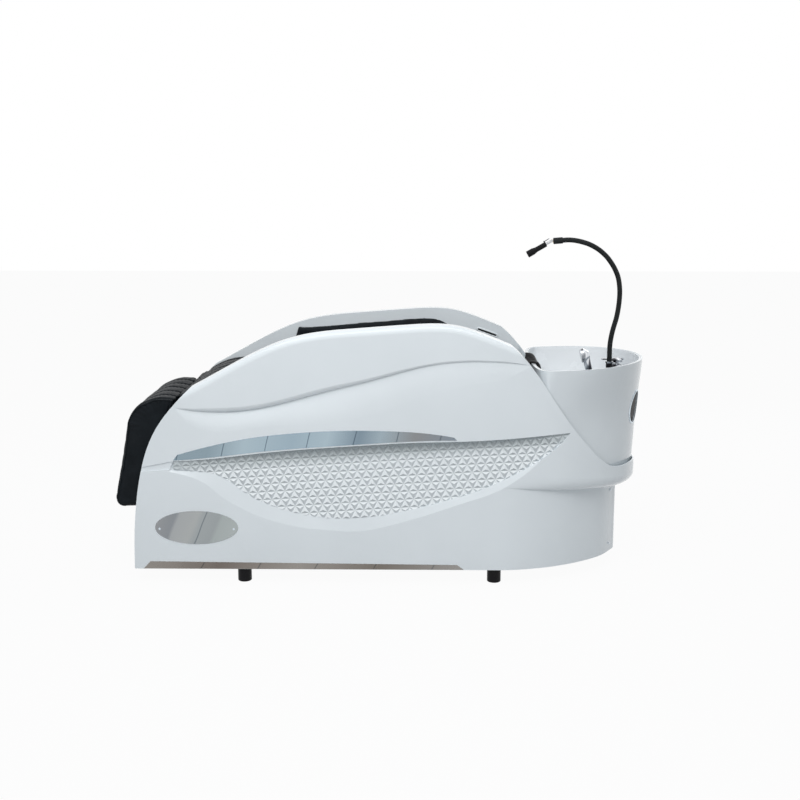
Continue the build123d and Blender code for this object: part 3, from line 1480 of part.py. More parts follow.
head_x = shower_x - shower_lean
head_z = deck_z + shower_bend_height + shower_rise
head_turn = radians(shower_head_tilt)
head_plane = Plane(origin=(head_x, shower_y, head_z), x_dir=(0, 1, 0),
                   z_dir=(-cos(head_turn), 0, -sin(head_turn)))
with BuildPart() as hand_shower:
    with BuildLine() as handle_path:
        FilletPolyline((shower_x, shower_y, deck_z + flange_sheet + seam_gap),
                       (shower_x, shower_y, deck_z + shower_bend_height), (head_x, shower_y, head_z),
                       radius=shower_bend_radius)
    with BuildSketch(Plane(origin=handle_path.line @ 0, z_dir=handle_path.line % 0)):
        Circle(shower_handle_radius)
    sweep(path=handle_path.line)
    for level, radius in ((-shower_handle_radius, shower_handle_radius),
                          (shower_head_depth / 3, shower_head_radius)):
        with BuildSketch(head_plane.offset(level)):
            Circle(radius)
    loft()
    with BuildSketch(head_plane.offset(shower_head_depth / 3)):
        Circle(shower_head_radius)
    extrude(amount=shower_head_depth * 2 / 3 - seam_gap)
    with BuildSketch(head_plane.offset(shower_head_depth - shower_face_sheet)):
        Circle(shower_face_radius + running_fit)
    extrude(amount=shower_face_sheet, mode=Mode.SUBTRACT)
save(hand_shower.part, "hand_shower")

with BuildPart() as shower_face:
    with BuildSketch(head_plane.offset(shower_head_depth - shower_face_sheet)):
        Circle(shower_face_radius)
    extrude(amount=shower_face_sheet)
save(shower_face.part, "shower_face")

# Gooseneck arm
sleeve_top = deck_z + goose_sleeve_height
goose_seat = deck_z + goose_seat_height
save(turned(goose_x, 0, [
    (0, deck_tail_z), (goose_tail_radius, deck_tail_z), (goose_tail_radius, deck_z),
    (goose_sleeve_radius + flange_step, deck_z), (goose_sleeve_radius + flange_step, deck_z + flange_sheet),
    (goose_sleeve_radius, deck_z + flange_sheet), (goose_sleeve_radius, sleeve_top),
    (goose_radius + running_fit, sleeve_top), (goose_radius + running_fit, goose_seat), (0, goose_seat)]),
    "gooseneck_base")
save(turned(goose_x, 0, [
    (goose_radius + running_fit, sleeve_top + seam_gap), (goose_collar_radius, sleeve_top + seam_gap),
    (goose_collar_radius, sleeve_top + goose_collar_sheet), (goose_radius + running_fit,
                                                            sleeve_top + goose_collar_sheet)]),
                                                            "gooseneck_collar")

goose_points = [Vector(goose_x, 0, goose_seat + seam_gap)] + [Vector(x, 0, z) for x,
                                                              z in place(goose_shares)]
goose_runs = [after - before for before, after in zip(goose_points, goose_points[1:])]
goose_bends = [bend_share * min(a.length, b.length) / tan(radians(a.get_angle(b) / 2))
               for a, b in zip(goose_runs, goose_runs[1:])]
print("gooseneck radii", [round(r) for r in goose_bends])
with BuildPart() as gooseneck_tube:
    with BuildLine() as goose_path:
        FilletPolyline(*goose_points, radius=goose_bends)
    with BuildSketch(Plane(origin=goose_path.line @ 0, z_dir=goose_path.line % 0)):
        Circle(goose_radius)
    sweep(path=goose_path.line)
save(gooseneck_tube.part, "gooseneck_tube")

goose_end = goose_points[-1]
goose_way = goose_runs[-1].normalized()
ferrule_plane = Plane(origin=goose_end - goose_way * (ferrule_length - ferrule_wall), z_dir=goose_way)
with BuildPart() as gooseneck_ferrule:
    with BuildSketch(ferrule_plane):
        Circle(ferrule_radius)
    extrude(amount=ferrule_length)
    with BuildSketch(ferrule_plane):
        Circle(goose_radius + running_fit)
    extrude(amount=ferrule_length - ferrule_wall, mode=Mode.SUBTRACT)
    chamfer(edges().filter_by(GeomType.CIRCLE).sort_by(Axis.X)[0], ferrule_wall / 3)
save(gooseneck_ferrule.part, "gooseneck_ferrule")

# Spray nozzle
ferrule_end = goose_end + goose_way * (ferrule_wall + seam_gap)
with BuildPart() as nozzle_joint:
    with BuildSketch(Plane.XZ.offset(-tang_sheet / 2)):
        with Locations((nozzle_joint_x, nozzle_joint_z)):
            Circle(tang_radius)
        with BuildLine():
            Polyline((nozzle_joint_x, nozzle_joint_z + tang_radius),
                     (ferrule_end.X + goose_way.Z * tang_radius, ferrule_end.Z - goose_way.X * tang_radius),
                     (ferrule_end.X - goose_way.Z * tang_radius, ferrule_end.Z + goose_way.X * tang_radius),
                     (nozzle_joint_x, nozzle_joint_z - tang_radius), close=True)
        make_face()
        with Locations((nozzle_joint_x, nozzle_joint_z)):
            Circle(tang_pin_radius + running_fit, mode=Mode.SUBTRACT)
    extrude(amount=tang_sheet)
save(nozzle_joint.part, "nozzle_joint")

nozzle_turn = radians(nozzle_angle)
nozzle_way = Vector(-cos(nozzle_turn), 0, -sin(nozzle_turn))
nozzle_origin = Vector(nozzle_joint_x, 0, nozzle_joint_z)
nozzle_frame = Plane(origin=nozzle_origin, x_dir=nozzle_way, z_dir=(0, -1, 0))


def along_nozzle(points):
    """A solid of revolution about the nozzle's axis, from distance and radius points."""
    with BuildPart() as lathe:
        with BuildSketch(nozzle_frame):
            with BuildLine():
                Polyline(*points, close=True)
            make_face()
        revolve(axis=Axis(nozzle_origin, nozzle_way))
    return lathe.part


fork_offset = tang_sheet / 2 + seam_gap
fork_reach = tang_radius + fork_sheet
with BuildPart() as nozzle_stem:
    add(along_nozzle([(fork_reach, 0), (fork_reach, nozzle_stem_radius),
                      (nozzle_stem_end, nozzle_stem_radius),
                      (nozzle_stem_end, 0)]))
    for side in (-1, 1):
        with BuildSketch(nozzle_frame.offset(side * (fork_offset + fork_sheet / 2) - fork_sheet / 2)):
            Circle(nozzle_stem_radius)
            with Locations((fork_reach / 2, 0)):
                Rectangle(fork_reach, 2 * nozzle_stem_radius)
        extrude(amount=fork_sheet)
    with BuildSketch(nozzle_frame.offset(-fork_reach)):
        Circle(tang_pin_radius)
    extrude(amount=2 * fork_reach, mode=Mode.SUBTRACT)
save(nozzle_stem.part, "nozzle_stem")

with BuildPart() as nozzle_pin:
    with BuildSketch(nozzle_frame.offset(-fork_offset - fork_sheet)):
        Circle(tang_pin_radius)
    extrude(amount=2 * (fork_offset + fork_sheet))
save(nozzle_pin.part, "nozzle_pin")

thumb_pivot = (nozzle_stem_end + thumb_sheet, -nozzle_grip_radius - thumb_sheet)
with BuildPart() as nozzle_grip:
    add(along_nozzle([(nozzle_stem_end + seam_gap, 0),
                      (nozzle_stem_end + seam_gap, nozzle_grip_radius - thumb_sheet),
                      (nozzle_stem_end + thumb_sheet, nozzle_grip_radius),
                      (nozzle_grip_end, nozzle_grip_radius),
                      (nozzle_grip_end, 0)]))
    for side in (-1, 1):
        middle = side * (thumb_width / 2 + seam_gap + thumb_ear_sheet / 2)
        with BuildSketch(nozzle_frame.offset(middle - thumb_ear_sheet / 2)):
            with Locations(thumb_pivot):
                Circle(thumb_sheet)
            with Locations((thumb_pivot[0], thumb_pivot[1] + thumb_sheet)):
                Rectangle(2 * thumb_sheet, 2 * thumb_sheet)
            with Locations(thumb_pivot):
                Circle(thumb_pin_radius + running_fit, mode=Mode.SUBTRACT)
        extrude(amount=thumb_ear_sheet)
save(nozzle_grip.part, "nozzle_grip")

tip_start = nozzle_grip_end + seam_gap
save(along_nozzle([(tip_start, 0), (tip_start, nozzle_grip_radius),
                   (tip_start + nozzle_tip_radius, nozzle_tip_radius),
                   (nozzle_tip_end, nozzle_tip_radius),
                   (nozzle_tip_end, nozzle_tip_radius - nozzle_face_inset),
                   (nozzle_tip_end - nozzle_face_inset, nozzle_tip_radius - nozzle_face_inset),
                   (nozzle_tip_end - nozzle_face_inset, 0)]), "nozzle_tip")

with BuildPart() as nozzle_lever:
    with BuildSketch(nozzle_frame.offset(-thumb_width / 2)):
        with Locations(thumb_pivot):
            Circle(thumb_sheet / 2 + thumb_pin_radius / 2)
        with BuildLine():
            Polyline((thumb_pivot[0], thumb_pivot[1] + thumb_sheet / 2),
                     (thumb_pivot[0], thumb_pivot[1] - thumb_sheet / 2),
                     (thumb_near, -thumb_rise - thumb_sheet / 2),
                     (thumb_near, -thumb_rise + thumb_sheet / 2), close=True)
        make_face()
    extrude(amount=thumb_width)
    with BuildSketch(nozzle_frame.offset(-thumb_width / 2 - thumb_ear_sheet)):
        with Locations(thumb_pivot):
            Circle(thumb_pin_radius)
    extrude(amount=thumb_width + 2 * thumb_ear_sheet)
save(nozzle_lever.part, "nozzle_lever")


# Hoses under the deck and the inlet tails
def hose(points, bend, name):
    """A round hose along straight runs joined by arcs."""
    with BuildPart() as tube_part:
        with BuildLine() as path:
            FilletPolyline(*points, radius=bend)
        with BuildSketch(Plane(origin=path.line @ 0, z_dir=path.line % 0)):
            Circle(hose_radius)
        sweep(path=path.line)
    save(tube_part.part, name)


def tail_port(degrees):
    """Where one hose meets the mixer's tail."""
    return (mixer_x + hose_ring * cos(radians(degrees)), mixer_y + hose_ring * sin(radians(degrees)))


inlet_x = spine_rear_x - tube / 2
inlet_top = rail_top + inlet_head
hot_x, hot_y = tail_port(hot_angle)
cold_x, cold_y = tail_port(cold_angle)
feed_x, feed_y = tail_port(feed_angle)
hot_end_y, cold_end_y = inlet_y_places[1], inlet_y_places[0]
hose_top = deck_tail_z - seam_gap
hose([(hot_x, hot_y, hose_top), (hot_x, hot_y, hose_top - 2 * hose_bend),
      (inlet_x, hot_end_y, (hose_top + inlet_top) / 2), (inlet_x, hot_end_y, inlet_top + seam_gap)],
     hose_bend, "hot_hose")
hose([(cold_x, cold_y, hose_top), (cold_x, cold_y, hose_top - 4 * hose_bend),
      (inlet_x, cold_end_y, (hose_top + inlet_top) / 2 - 2 * hose_bend),
      (inlet_x, cold_end_y, inlet_top + seam_gap)],
     hose_bend, "cold_hose")
hose([(feed_x, feed_y, hose_top), (feed_x, feed_y, hose_top - feed_drop), (goose_x, 0, hose_top - feed_drop),
      (goose_x, 0, hose_top)], feed_bend, "feed_hose")

with BuildPart() as inlet_tails:
    for y in inlet_y_places:
        inlet_low = rail_bottom - inlet_foot
        shank = inlet_radius - seam_gap
        add(turned(inlet_x, y, [(hose_radius, inlet_low), (inlet_radius, inlet_low),
                                (inlet_radius, rail_bottom - seam_gap), (shank, rail_bottom - seam_gap),
                                (shank, rail_top), (inlet_radius + flange_sheet, rail_top),
                                (inlet_radius + flange_sheet, rail_top + deck_nut_height),
                                (shank, rail_top + deck_nut_height), (shank, inlet_top),
                                (0, inlet_top), (0, rail_top), (hose_radius, rail_top)]))
save(inlet_tails.part, "inlet_tails")
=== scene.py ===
import json
import math

import bmesh
import bpy
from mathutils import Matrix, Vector, noise
from mathutils.bvhtree import BVHTree


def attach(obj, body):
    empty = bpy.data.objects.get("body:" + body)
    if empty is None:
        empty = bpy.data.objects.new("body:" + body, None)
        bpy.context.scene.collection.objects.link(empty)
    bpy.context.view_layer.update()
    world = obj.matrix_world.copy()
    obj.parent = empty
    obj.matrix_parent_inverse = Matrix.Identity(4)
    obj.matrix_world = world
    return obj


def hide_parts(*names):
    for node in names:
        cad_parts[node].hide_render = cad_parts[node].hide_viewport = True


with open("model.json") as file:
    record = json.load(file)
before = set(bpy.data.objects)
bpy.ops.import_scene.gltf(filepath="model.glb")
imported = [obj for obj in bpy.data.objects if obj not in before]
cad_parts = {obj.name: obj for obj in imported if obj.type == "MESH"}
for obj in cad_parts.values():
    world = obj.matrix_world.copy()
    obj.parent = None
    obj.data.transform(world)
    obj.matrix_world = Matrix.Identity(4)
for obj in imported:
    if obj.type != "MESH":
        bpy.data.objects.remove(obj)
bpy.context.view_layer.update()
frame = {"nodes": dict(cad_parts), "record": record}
nodes = frame["nodes"]
scene = bpy.context.scene

# Camera at the photograph's viewing angle
camera_data = bpy.data.cameras.new("camera")
camera_data.lens = 54.0
camera_data.sensor_width = 36.0
camera = bpy.data.objects.new("camera", camera_data)
camera_dip, camera_turn = 10.66, 0.86
camera.location = (0.1285, -4.49, 1.465)
camera.rotation_euler = (math.radians(90.0 - camera_dip), 0.0, math.radians(camera_turn))
scene.collection.objects.link(camera)
scene.camera = camera
scene.view_settings.view_transform = "Standard"


# Light: a plain pale room with soft lamps
def lamp(name, place, target, size, power, glossy=True):
    """A soft rectangular lamp aimed at a point."""
    data = bpy.data.lights.new(name, "AREA")
    data.shape = "RECTANGLE"
    data.size, data.size_y = size
    data.energy = power
    obj = bpy.data.objects.new(name, data)
    obj.location = place
    obj.visible_glossy = glossy
    obj.rotation_euler = (Vector(target) - Vector(place)).to_track_quat("-Z", "Y").to_euler()
    scene.collection.objects.link(obj)


lamp("key", place=(-0.5, -2.9, 3.3), target=(0.0, 0.0, 0.8), size=(3.2, 2.0), power=77.0,
     glossy=False)
lamp("overhead", place=(-0.2, -1.0, 3.3), target=(0.0, 0.25, 0.8), size=(3.6, 1.2), power=20.0)
lamp("rim", place=(2.2, 2.4, 2.2), target=(0.3, 0.0, 0.8), size=(2.0, 2.0), power=20.0)

world = bpy.data.worlds.new("world")
scene.world = world
world.use_nodes = True
world_tree = world.node_tree
world_tree.nodes.clear()
light_path = world_tree.nodes.new("ShaderNodeLightPath")


def any_ray(tree, rays):
    """One for a camera, glossy or transmission ray, else zero."""
    first = rays.outputs["Is Camera Ray"]
    for kind in ("Is Glossy Ray", "Is Transmission Ray"):
        either = tree.nodes.new("ShaderNodeMath")
        either.operation = "MAXIMUM"
        tree.links.new(first, either.inputs[0])
        tree.links.new(rays.outputs[kind], either.inputs[1])
        first = either.outputs[0]
    return first


seen = any_ray(world_tree, light_path)
unseen_light = world_tree.nodes.new("ShaderNodeBackground")
unseen_light.inputs["Color"].default_value = (0.93, 0.97, 1.0, 1.0)
unseen_light.inputs["Strength"].default_value = 0.42
backdrop_light = world_tree.nodes.new("ShaderNodeBackground")
backdrop_light.inputs["Color"].default_value = (1.0, 1.0, 1.0, 1.0)
world_mix = world_tree.nodes.new("ShaderNodeMixShader")
world_out = world_tree.nodes.new("ShaderNodeOutputWorld")
world_tree.links.new(seen, world_mix.inputs[0])
world_tree.links.new(unseen_light.outputs[0], world_mix.inputs[1])
world_tree.links.new(backdrop_light.outputs[0], world_mix.inputs[2])
world_tree.links.new(world_mix.outputs[0], world_out.inputs[0])


# Materials
NOISE, VORONOI = "ShaderNodeTexNoise", "ShaderNodeTexVoronoi"


def new_material(name, colour, roughness, metallic=0.0, coat=0.0, specular=0.5):
    """A principled material with its plain numbers set on the shader."""
    mat = bpy.data.materials.new(name)
    mat.use_nodes = True
    shader = mat.node_tree.nodes["Principled BSDF"]
    shader.inputs["Base Color"].default_value = (*colour, 1.0)
    shader.inputs["Roughness"].default_value = roughness
    shader.inputs["Metallic"].default_value = metallic
    shader.inputs["Coat Weight"].default_value = coat
    shader.inputs["Coat Roughness"].default_value = 0.06
    shader.inputs["Specular IOR Level"].default_value = specular
    return mat


def texture(mat, kind, scale, stretch=(1.0, 1.0, 1.0), detail=3.0):
    """A noise or voronoi texture in the object's own metres."""
    tree = mat.node_tree
    place = tree.nodes.new("ShaderNodeTexCoord")
    mapping = tree.nodes.new("ShaderNodeMapping")
    mapping.inputs["Scale"].default_value = stretch
    tree.links.new(place.outputs["Object"], mapping.inputs["Vector"])
    tex = tree.nodes.new(kind)
    tex.inputs["Scale"].default_value = scale
    if "Detail" in tex.inputs:
        tex.inputs["Detail"].default_value = detail
    tree.links.new(mapping.outputs["Vector"], tex.inputs["Vector"])
    return tex


def colour_stops(tree, value, stops):
    """A ramp of (position, colour) stops over a value socket."""
    node = tree.nodes.new("ShaderNodeValToRGB")
    tree.links.new(value, node.inputs["Fac"])
    elements = node.color_ramp.elements
    for element, (position, colour) in zip(elements, (stops[0], stops[-1])):
        element.position = position
        element.color = (*colour, 1.0)
    for position, colour in stops[1:-1]:
        elements.new(position).color = (*colour, 1.0)
    return node.outputs["Color"]


def to_shader(mat, socket, target):
    """Link a socket to one input of the material's shader."""
    tree = mat.node_tree
    tree.links.new(socket, tree.nodes["Principled BSDF"].inputs[target])


def ramp(mat, tex, output, stops, target):
    """Colour stops over a texture, into one input of the shader."""
    to_shader(mat, colour_stops(mat.node_tree, tex.outputs[output], stops), target)


def grey(value):
    """A colour with no hue."""
    return (value, value, value)


def gloss_changes(mat, scale, low, high, span=(0.3, 0.75)):
    """Roughness that drifts between two values over broad patches."""
    ramp(mat, texture(mat, NOISE, scale), "Fac", [(span[0], grey(low)), (span[1], grey(high))],
         "Roughness")


def maths(tree, operation, first, second):
    """The output of a maths node on two values or sockets."""
    node = tree.nodes.new("ShaderNodeMath")
    node.operation = operation
    for socket, value in zip(node.inputs, (first, second)):
        if isinstance(value, float):
            socket.default_value = value
        else:
            tree.links.new(value, socket)
    return node.outputs[0]


def split_vector(tree, socket):
    """The X, Y and Z outputs of a vector socket."""
    split = tree.nodes.new("ShaderNodeSeparateXYZ")
    tree.links.new(socket, split.inputs[0])
    return split.outputs


def product(tree, first, second):
    """Two colours multiplied."""
    mix = tree.nodes.new("ShaderNodeMix")
    mix.data_type = "RGBA"
    mix.blend_type = "MULTIPLY"
    mix.inputs[0].default_value = 1.0
    tree.links.new(first, mix.inputs[6])
    tree.links.new(second, mix.inputs[7])
    return mix.outputs[2]


def bumps(mat, layers):
    """Stacked bumps, each from a texture output with its own height in metres."""
    tree = mat.node_tree
    previous = None
    for tex, output, strength, height in layers:
        bump = tree.nodes.new("ShaderNodeBump")
        bump.inputs["Strength"].default_value = strength
        bump.inputs["Distance"].default_value = height
        tree.links.new(tex.outputs[output], bump.inputs["Height"])
        if previous:
            tree.links.new(previous.outputs["Normal"], bump.inputs["Normal"])
        previous = bump
    tree.links.new(previous.outputs["Normal"], tree.nodes["Principled BSDF"].inputs["Normal"])


def moulded(name, low, high, roughness, coat):
    """Gelcoat: faint cloudiness in colour, orange peel and soft gloss changes."""
    mat = new_material(name, high, roughness, coat=coat)
    ramp(mat, texture(mat, NOISE, 3.0), "Fac", [(0.3, low), (0.7, high)], "Base Color")
    gloss_changes(mat, 14.0, roughness, roughness * 1.5)
    peel = texture(mat, NOISE, 160.0)
    waves = texture(mat, NOISE, 5.0)
    bumps(mat, [(peel, "Fac", 0.10, 0.0004), (waves, "Fac", 0.10, 0.003)])
    return mat


def polish(mat, roughness, streak, stretch=(1.0, 1.0, 1.0)):
    """Smudges in the gloss of a metal, and fine scratches."""
    gloss_changes(mat, 9.0, roughness, roughness * 1.8, span=(0.35, 0.75))
    scratches = texture(mat, NOISE, streak, stretch=stretch)
    bumps(mat, [(scratches, "Fac", 0.12, 0.0002)])


def metal(name, colour, roughness, streak, stretch=(1.0, 1.0, 1.0), painted_reflection_bands=None):
    """Polished or brushed metal, with optional broad bands of painted reflection given as (scale,
    stretch, dark, light).
    """
    mat = new_material(name, colour, roughness, metallic=1.0)
    if painted_reflection_bands:
        scale, band_stretch, dark, light = painted_reflection_bands
        # Painted reflections: stretched light and dark bands in the colour
        reflection_cells = texture(mat, VORONOI, scale, stretch=band_stretch)
        ramp(mat, reflection_cells, "Color", [(0.15, dark), (0.85, light)], "Base Color")
    polish(mat, roughness, streak, stretch)
    return mat


def chrome(name, roughness):
    """Mirror plating on small curved fittings, with broad light and dark streaks of painted
    reflection in its colour.
    """
    mat = new_material(name, (0.72, 0.74, 0.77), roughness, metallic=1.0)
    # Painted reflections: near-black to bright streaks in the colour
    painted_reflection_streaks = texture(mat, NOISE, 26.0, stretch=(1.0, 1.0, 0.35), detail=1.0)
    ramp(mat, painted_reflection_streaks, "Fac", [
        (0.36, (0.05, 0.05, 0.06)), (0.44, (0.32, 0.34, 0.37)), (0.52, (0.80, 0.82, 0.85)),
        (0.60, (0.62, 0.65, 0.69)), (0.66, (0.12, 0.12, 0.13))], "Base Color")
    polish(mat, roughness, 500.0)
    return mat


def relief_gelcoat_painted_shade(name, panel):
    """Gelcoat of a faceted panel, with painted shade: darker on facets that look down, and a
    painted shadow under its top edge.
    """
    mat = new_material(name, (0.82, 0.87, 0.90), 0.22, coat=0.3)
    tree = mat.node_tree
    shape = tree.nodes.new("ShaderNodeNewGeometry")
    # Painted shade: the colour follows how far each facet faces up or down
    tilt = split_vector(tree, shape.outputs["Normal"])
    facing = maths(tree, "ADD", maths(tree, "MULTIPLY", tilt["Z"], 0.5), 0.5)
    painted_light_tone = colour_stops(tree, facing, [
        (0.36, (0.56, 0.60, 0.62)), (0.50, (0.76, 0.81, 0.84)), (0.62, (0.86, 0.90, 0.92))])

    # Painted shadow under the top edge, which is taken as the straight line through its heights at
    # two places along X
    ends, reach, shadow_strip_height = (-0.50, 0.20), 0.02, 0.10
    top = [max(v.co.z for v in panel.data.vertices if abs(v.co.x - x) < reach) for x in ends]
    slope = (top[1] - top[0]) / (ends[1] - ends[0])
    place = split_vector(tree, tree.nodes.new("ShaderNodeTexCoord").outputs["Object"])
    edge = maths(tree, "ADD", maths(tree, "MULTIPLY", place["X"], slope), top[0] - ends[0] * slope)
    below = maths(tree, "DIVIDE", maths(tree, "SUBTRACT", edge, place["Z"]), shadow_strip_height)
    # Painted shadow: a darker strip just below the top edge
    painted_shadow_strip = colour_stops(tree, below, [(0.30, (0.70, 0.72, 0.72)), (0.56, grey(1.0))])
    to_shader(mat, product(tree, painted_light_tone, painted_shadow_strip), "Base Color")
    gloss_changes(mat, 14.0, low=0.20, high=0.32)
    return mat


def sheet_metal(name, roughness, reflected_shades, span, reflected_joint_gap, reflected_joint_start, slant):
    """Polished sheet with painted reflections: tones that change along its length, and thin slanted
    dark lines that are painted reflections of joints between tiles.
    """
    mat = new_material(name, reflected_shades[0][1], roughness, metallic=1.0)
    tree = mat.node_tree
    place = split_vector(tree, tree.nodes.new("ShaderNodeTexCoord").outputs["Object"])
    wander = texture(mat, NOISE, 5.0, stretch=(1.0, 1.0, 0.4))
    wander_reach = 0.035
    off_middle = maths(tree, "SUBTRACT", wander.outputs["Fac"], 0.5)
    along = maths(tree, "ADD", place["X"], maths(tree, "MULTIPLY", off_middle, wander_reach))
    leaned = maths(tree, "ADD", along, maths(tree, "MULTIPLY", place["Z"], slant))
    share = maths(tree, "DIVIDE", maths(tree, "SUBTRACT", leaned, span[0]), span[1] - span[0])
    # Painted reflections: broad tones along the sheet
    painted_light_tone = colour_stops(tree, share, reflected_shades)

    # Painted reflections of joints: thin slanted dark lines at even steps
    reflected_line_width = 0.0016
    half_line = reflected_line_width / reflected_joint_gap
    step = maths(tree, "DIVIDE", maths(tree, "SUBTRACT", leaned, reflected_joint_start), reflected_joint_gap)
    in_step = maths(tree, "SUBTRACT", maths(tree, "FRACT", step, 0.0), 0.5)
    from_reflected_joint = maths(tree, "ABSOLUTE", in_step, 0.0)
    line = colour_stops(tree, from_reflected_joint, [
        (0.5 * half_line, (0.42, 0.46, 0.50)), (1.6 * half_line, grey(1.0))])
    to_shader(mat, product(tree, painted_light_tone, line), "Base Color")
    polish(mat, roughness, 220.0, (0.3, 1.0, 2.0))
    return mat


def hide(name, low, high, roughness, cell, wrinkle):
    """Upholstery leather: pebbled grain, fine wrinkles, worn sheen."""
    mat = new_material(name, high, roughness, specular=0.12)
    ramp(mat, texture(mat, NOISE, 22.0), "Fac", [(0.3, low), (0.75, high)], "Base Color")
    gloss_changes(mat, 45.0, roughness, roughness + 0.14, span=(0.3, 0.7))
    pebbles = texture(mat, VORONOI, cell)
    creases = texture(mat, NOISE, wrinkle, detail=6.0)
    bumps(mat, [(creases, "Fac", 0.35, 0.0015), (pebbles, "Distance", 0.35, 0.0006)])
    return mat


def plastic(name, low, high, roughness, grain, specular=0.4):
    """Textured moulded plastic, rubber, paint, wood or thread."""
    mat = new_material(name, high, roughness, specular=specular)
    ramp(mat, texture(mat, NOISE, 18.0), "Fac", [(0.3, low), (0.7, high)], "Base Color")
    gloss_changes(mat, 60.0, roughness, min(roughness * 1.3, 1.0), span=(0.3, 0.7))
    bumps(mat, [(texture(mat, NOISE, grain), "Fac", 0.25, 0.0004)])
    return mat


looks = {
    "shell_plastic": moulded("shell_gelcoat", (0.78, 0.83, 0.86), (0.82, 0.87, 0.90),
                             roughness=0.16, coat=0.5),
    "bowl_plastic": moulded("bowl_gelcoat", (0.76, 0.79, 0.82), (0.80, 0.83, 0.85),
                            roughness=0.20, coat=0.3),
    # The polished trim carries bands of painted reflection in its colour
    "trim_chrome": metal("polished_trim_painted_reflections", (0.55, 0.60, 0.64), roughness=0.14, streak=220.0,
                         stretch=(0.3, 1.0, 2.0),
                         painted_reflection_bands=(7.0, (1.0, 0.01, 0.12), (0.36, 0.40, 0.44), (0.62, 0.69, 0.75))),
    "leather": hide("black_leather", (0.004, 0.006, 0.008), (0.008, 0.011, 0.014),
                    roughness=0.42, cell=750.0, wrinkle=55.0),
    "neck_rubber": plastic("neck_pad_rubber", (0.006, 0.006, 0.007), (0.011, 0.011, 0.012),
                           roughness=0.55, grain=900.0, specular=0.15),
    "board_wood": plastic("plywood", (0.45, 0.32, 0.19), (0.60, 0.45, 0.29),
                          roughness=0.60, grain=120.0),
    "frame_steel": plastic("frame_powder_coat", (0.030, 0.030, 0.032), (0.045, 0.045, 0.048),
                           roughness=0.45, grain=700.0),
    "bright_steel": metal("bright_steel", (0.55, 0.56, 0.58), roughness=0.22, streak=300.0),
    "black_plastic": plastic("black_satin_plastic", (0.004, 0.004, 0.005), (0.008, 0.008, 0.009),
                             roughness=0.38, grain=600.0, specular=0.15),
    "fitting_chrome": chrome("fitting_chrome", roughness=0.07),
    "white_plastic": plastic("white_gloss_plastic", (0.80, 0.83, 0.85), (0.86, 0.88, 0.90),
                             roughness=0.22, grain=300.0),
    "black_rubber": plastic("black_sheath", (0.006, 0.008, 0.008), (0.012, 0.014, 0.015),
                            roughness=0.42, grain=420.0, specular=0.20),
    "brass": metal("brass", (0.60, 0.43, 0.18), roughness=0.20, streak=400.0),
}
stitch_thread = plastic("stitch_thread", (0.02, 0.02, 0.022), (0.05, 0.05, 0.055),
                        roughness=0.6, grain=900.0)

# Looks of the mirror trims, by how their nodes' names end: their tones and dark lines are painted
# reflections
pale_reflection, blue_reflection = (0.40, 0.50, 0.56), (0.27, 0.35, 0.40)
warm_reflection, dull_reflection = (0.26, 0.27, 0.28), (0.17, 0.16, 0.15)
sheet_looks = {
    "lens_trim": sheet_metal("lens_sheet_painted_reflections", roughness=0.12, reflected_shades=[
        (0.0, blue_reflection), (0.12, pale_reflection), (0.30, (0.34, 0.44, 0.51)), (0.42, pale_reflection),
        (0.52, (0.22, 0.29, 0.35)), (0.60, (0.34, 0.42, 0.47)), (0.72, warm_reflection),
        (0.86, (0.24, 0.28, 0.32)), (1.0, dull_reflection)],
        span=(-0.75, 0.27), reflected_joint_gap=0.155, reflected_joint_start=-0.62, slant=-0.25),
    "oval_plate": sheet_metal("oval_sheet_painted_reflections", roughness=0.16, reflected_shades=[
        (0.0, (0.31, 0.32, 0.33)), (0.26, (0.26, 0.28, 0.30)), (0.30, (0.37, 0.39, 0.40)),
        (0.50, (0.40, 0.42, 0.42)), (0.56, (0.35, 0.38, 0.39)), (0.75, (0.33, 0.36, 0.37)),
        (0.80, (0.38, 0.42, 0.42)), (1.0, (0.41, 0.45, 0.45))],
        span=(-0.92, -0.62), reflected_joint_gap=0.32, reflected_joint_start=-0.903, slant=-0.395),
    "kick_trim": sheet_metal("kick_sheet_painted_reflections", roughness=0.2, reflected_shades=[
        (0.0, (0.28, 0.26, 0.24)), (0.2, (0.18, 0.155, 0.14)), (0.45, (0.31, 0.29, 0.27)),
        (0.7, (0.19, 0.17, 0.15)), (1.0, (0.33, 0.32, 0.31))],
        span=(-0.87, 0.30), reflected_joint_gap=0.21, reflected_joint_start=-0.80, slant=-0.6),
}

slot_of = {part["node"]: part["material_slot"] for part in frame["record"]["subparts"]}


def look_of(name, obj):
    """A node's material: by the end of its name for trims and relief panels, else by its slot."""
    if name.endswith("relief_panel"):
        return relief_gelcoat_painted_shade(f"{name}_gelcoat", obj)
    for ending, look in sheet_looks.items():
        if name.endswith(ending):
            return look
    return looks[slot_of[name]]


for name, obj in nodes.items():
    obj.data.materials.clear()
    obj.data.materials.append(look_of(name, obj))


# Helpers for the soft pieces
def add_object(name, mesh, slot, body):
    """Link a mesh as a piece that rides on a body."""
    obj = bpy.data.objects.new(name, mesh)
    scene.collection.objects.link(obj)
    mesh.materials.clear()
    mesh.materials.append(looks[slot])
    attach(obj, body)
    return obj


def only(obj):
    """Make one object the active one."""
    bpy.ops.object.select_all(action="DESELECT")
    obj.select_set(True)
    bpy.context.view_layer.objects.active = obj


cloth_frames = 20


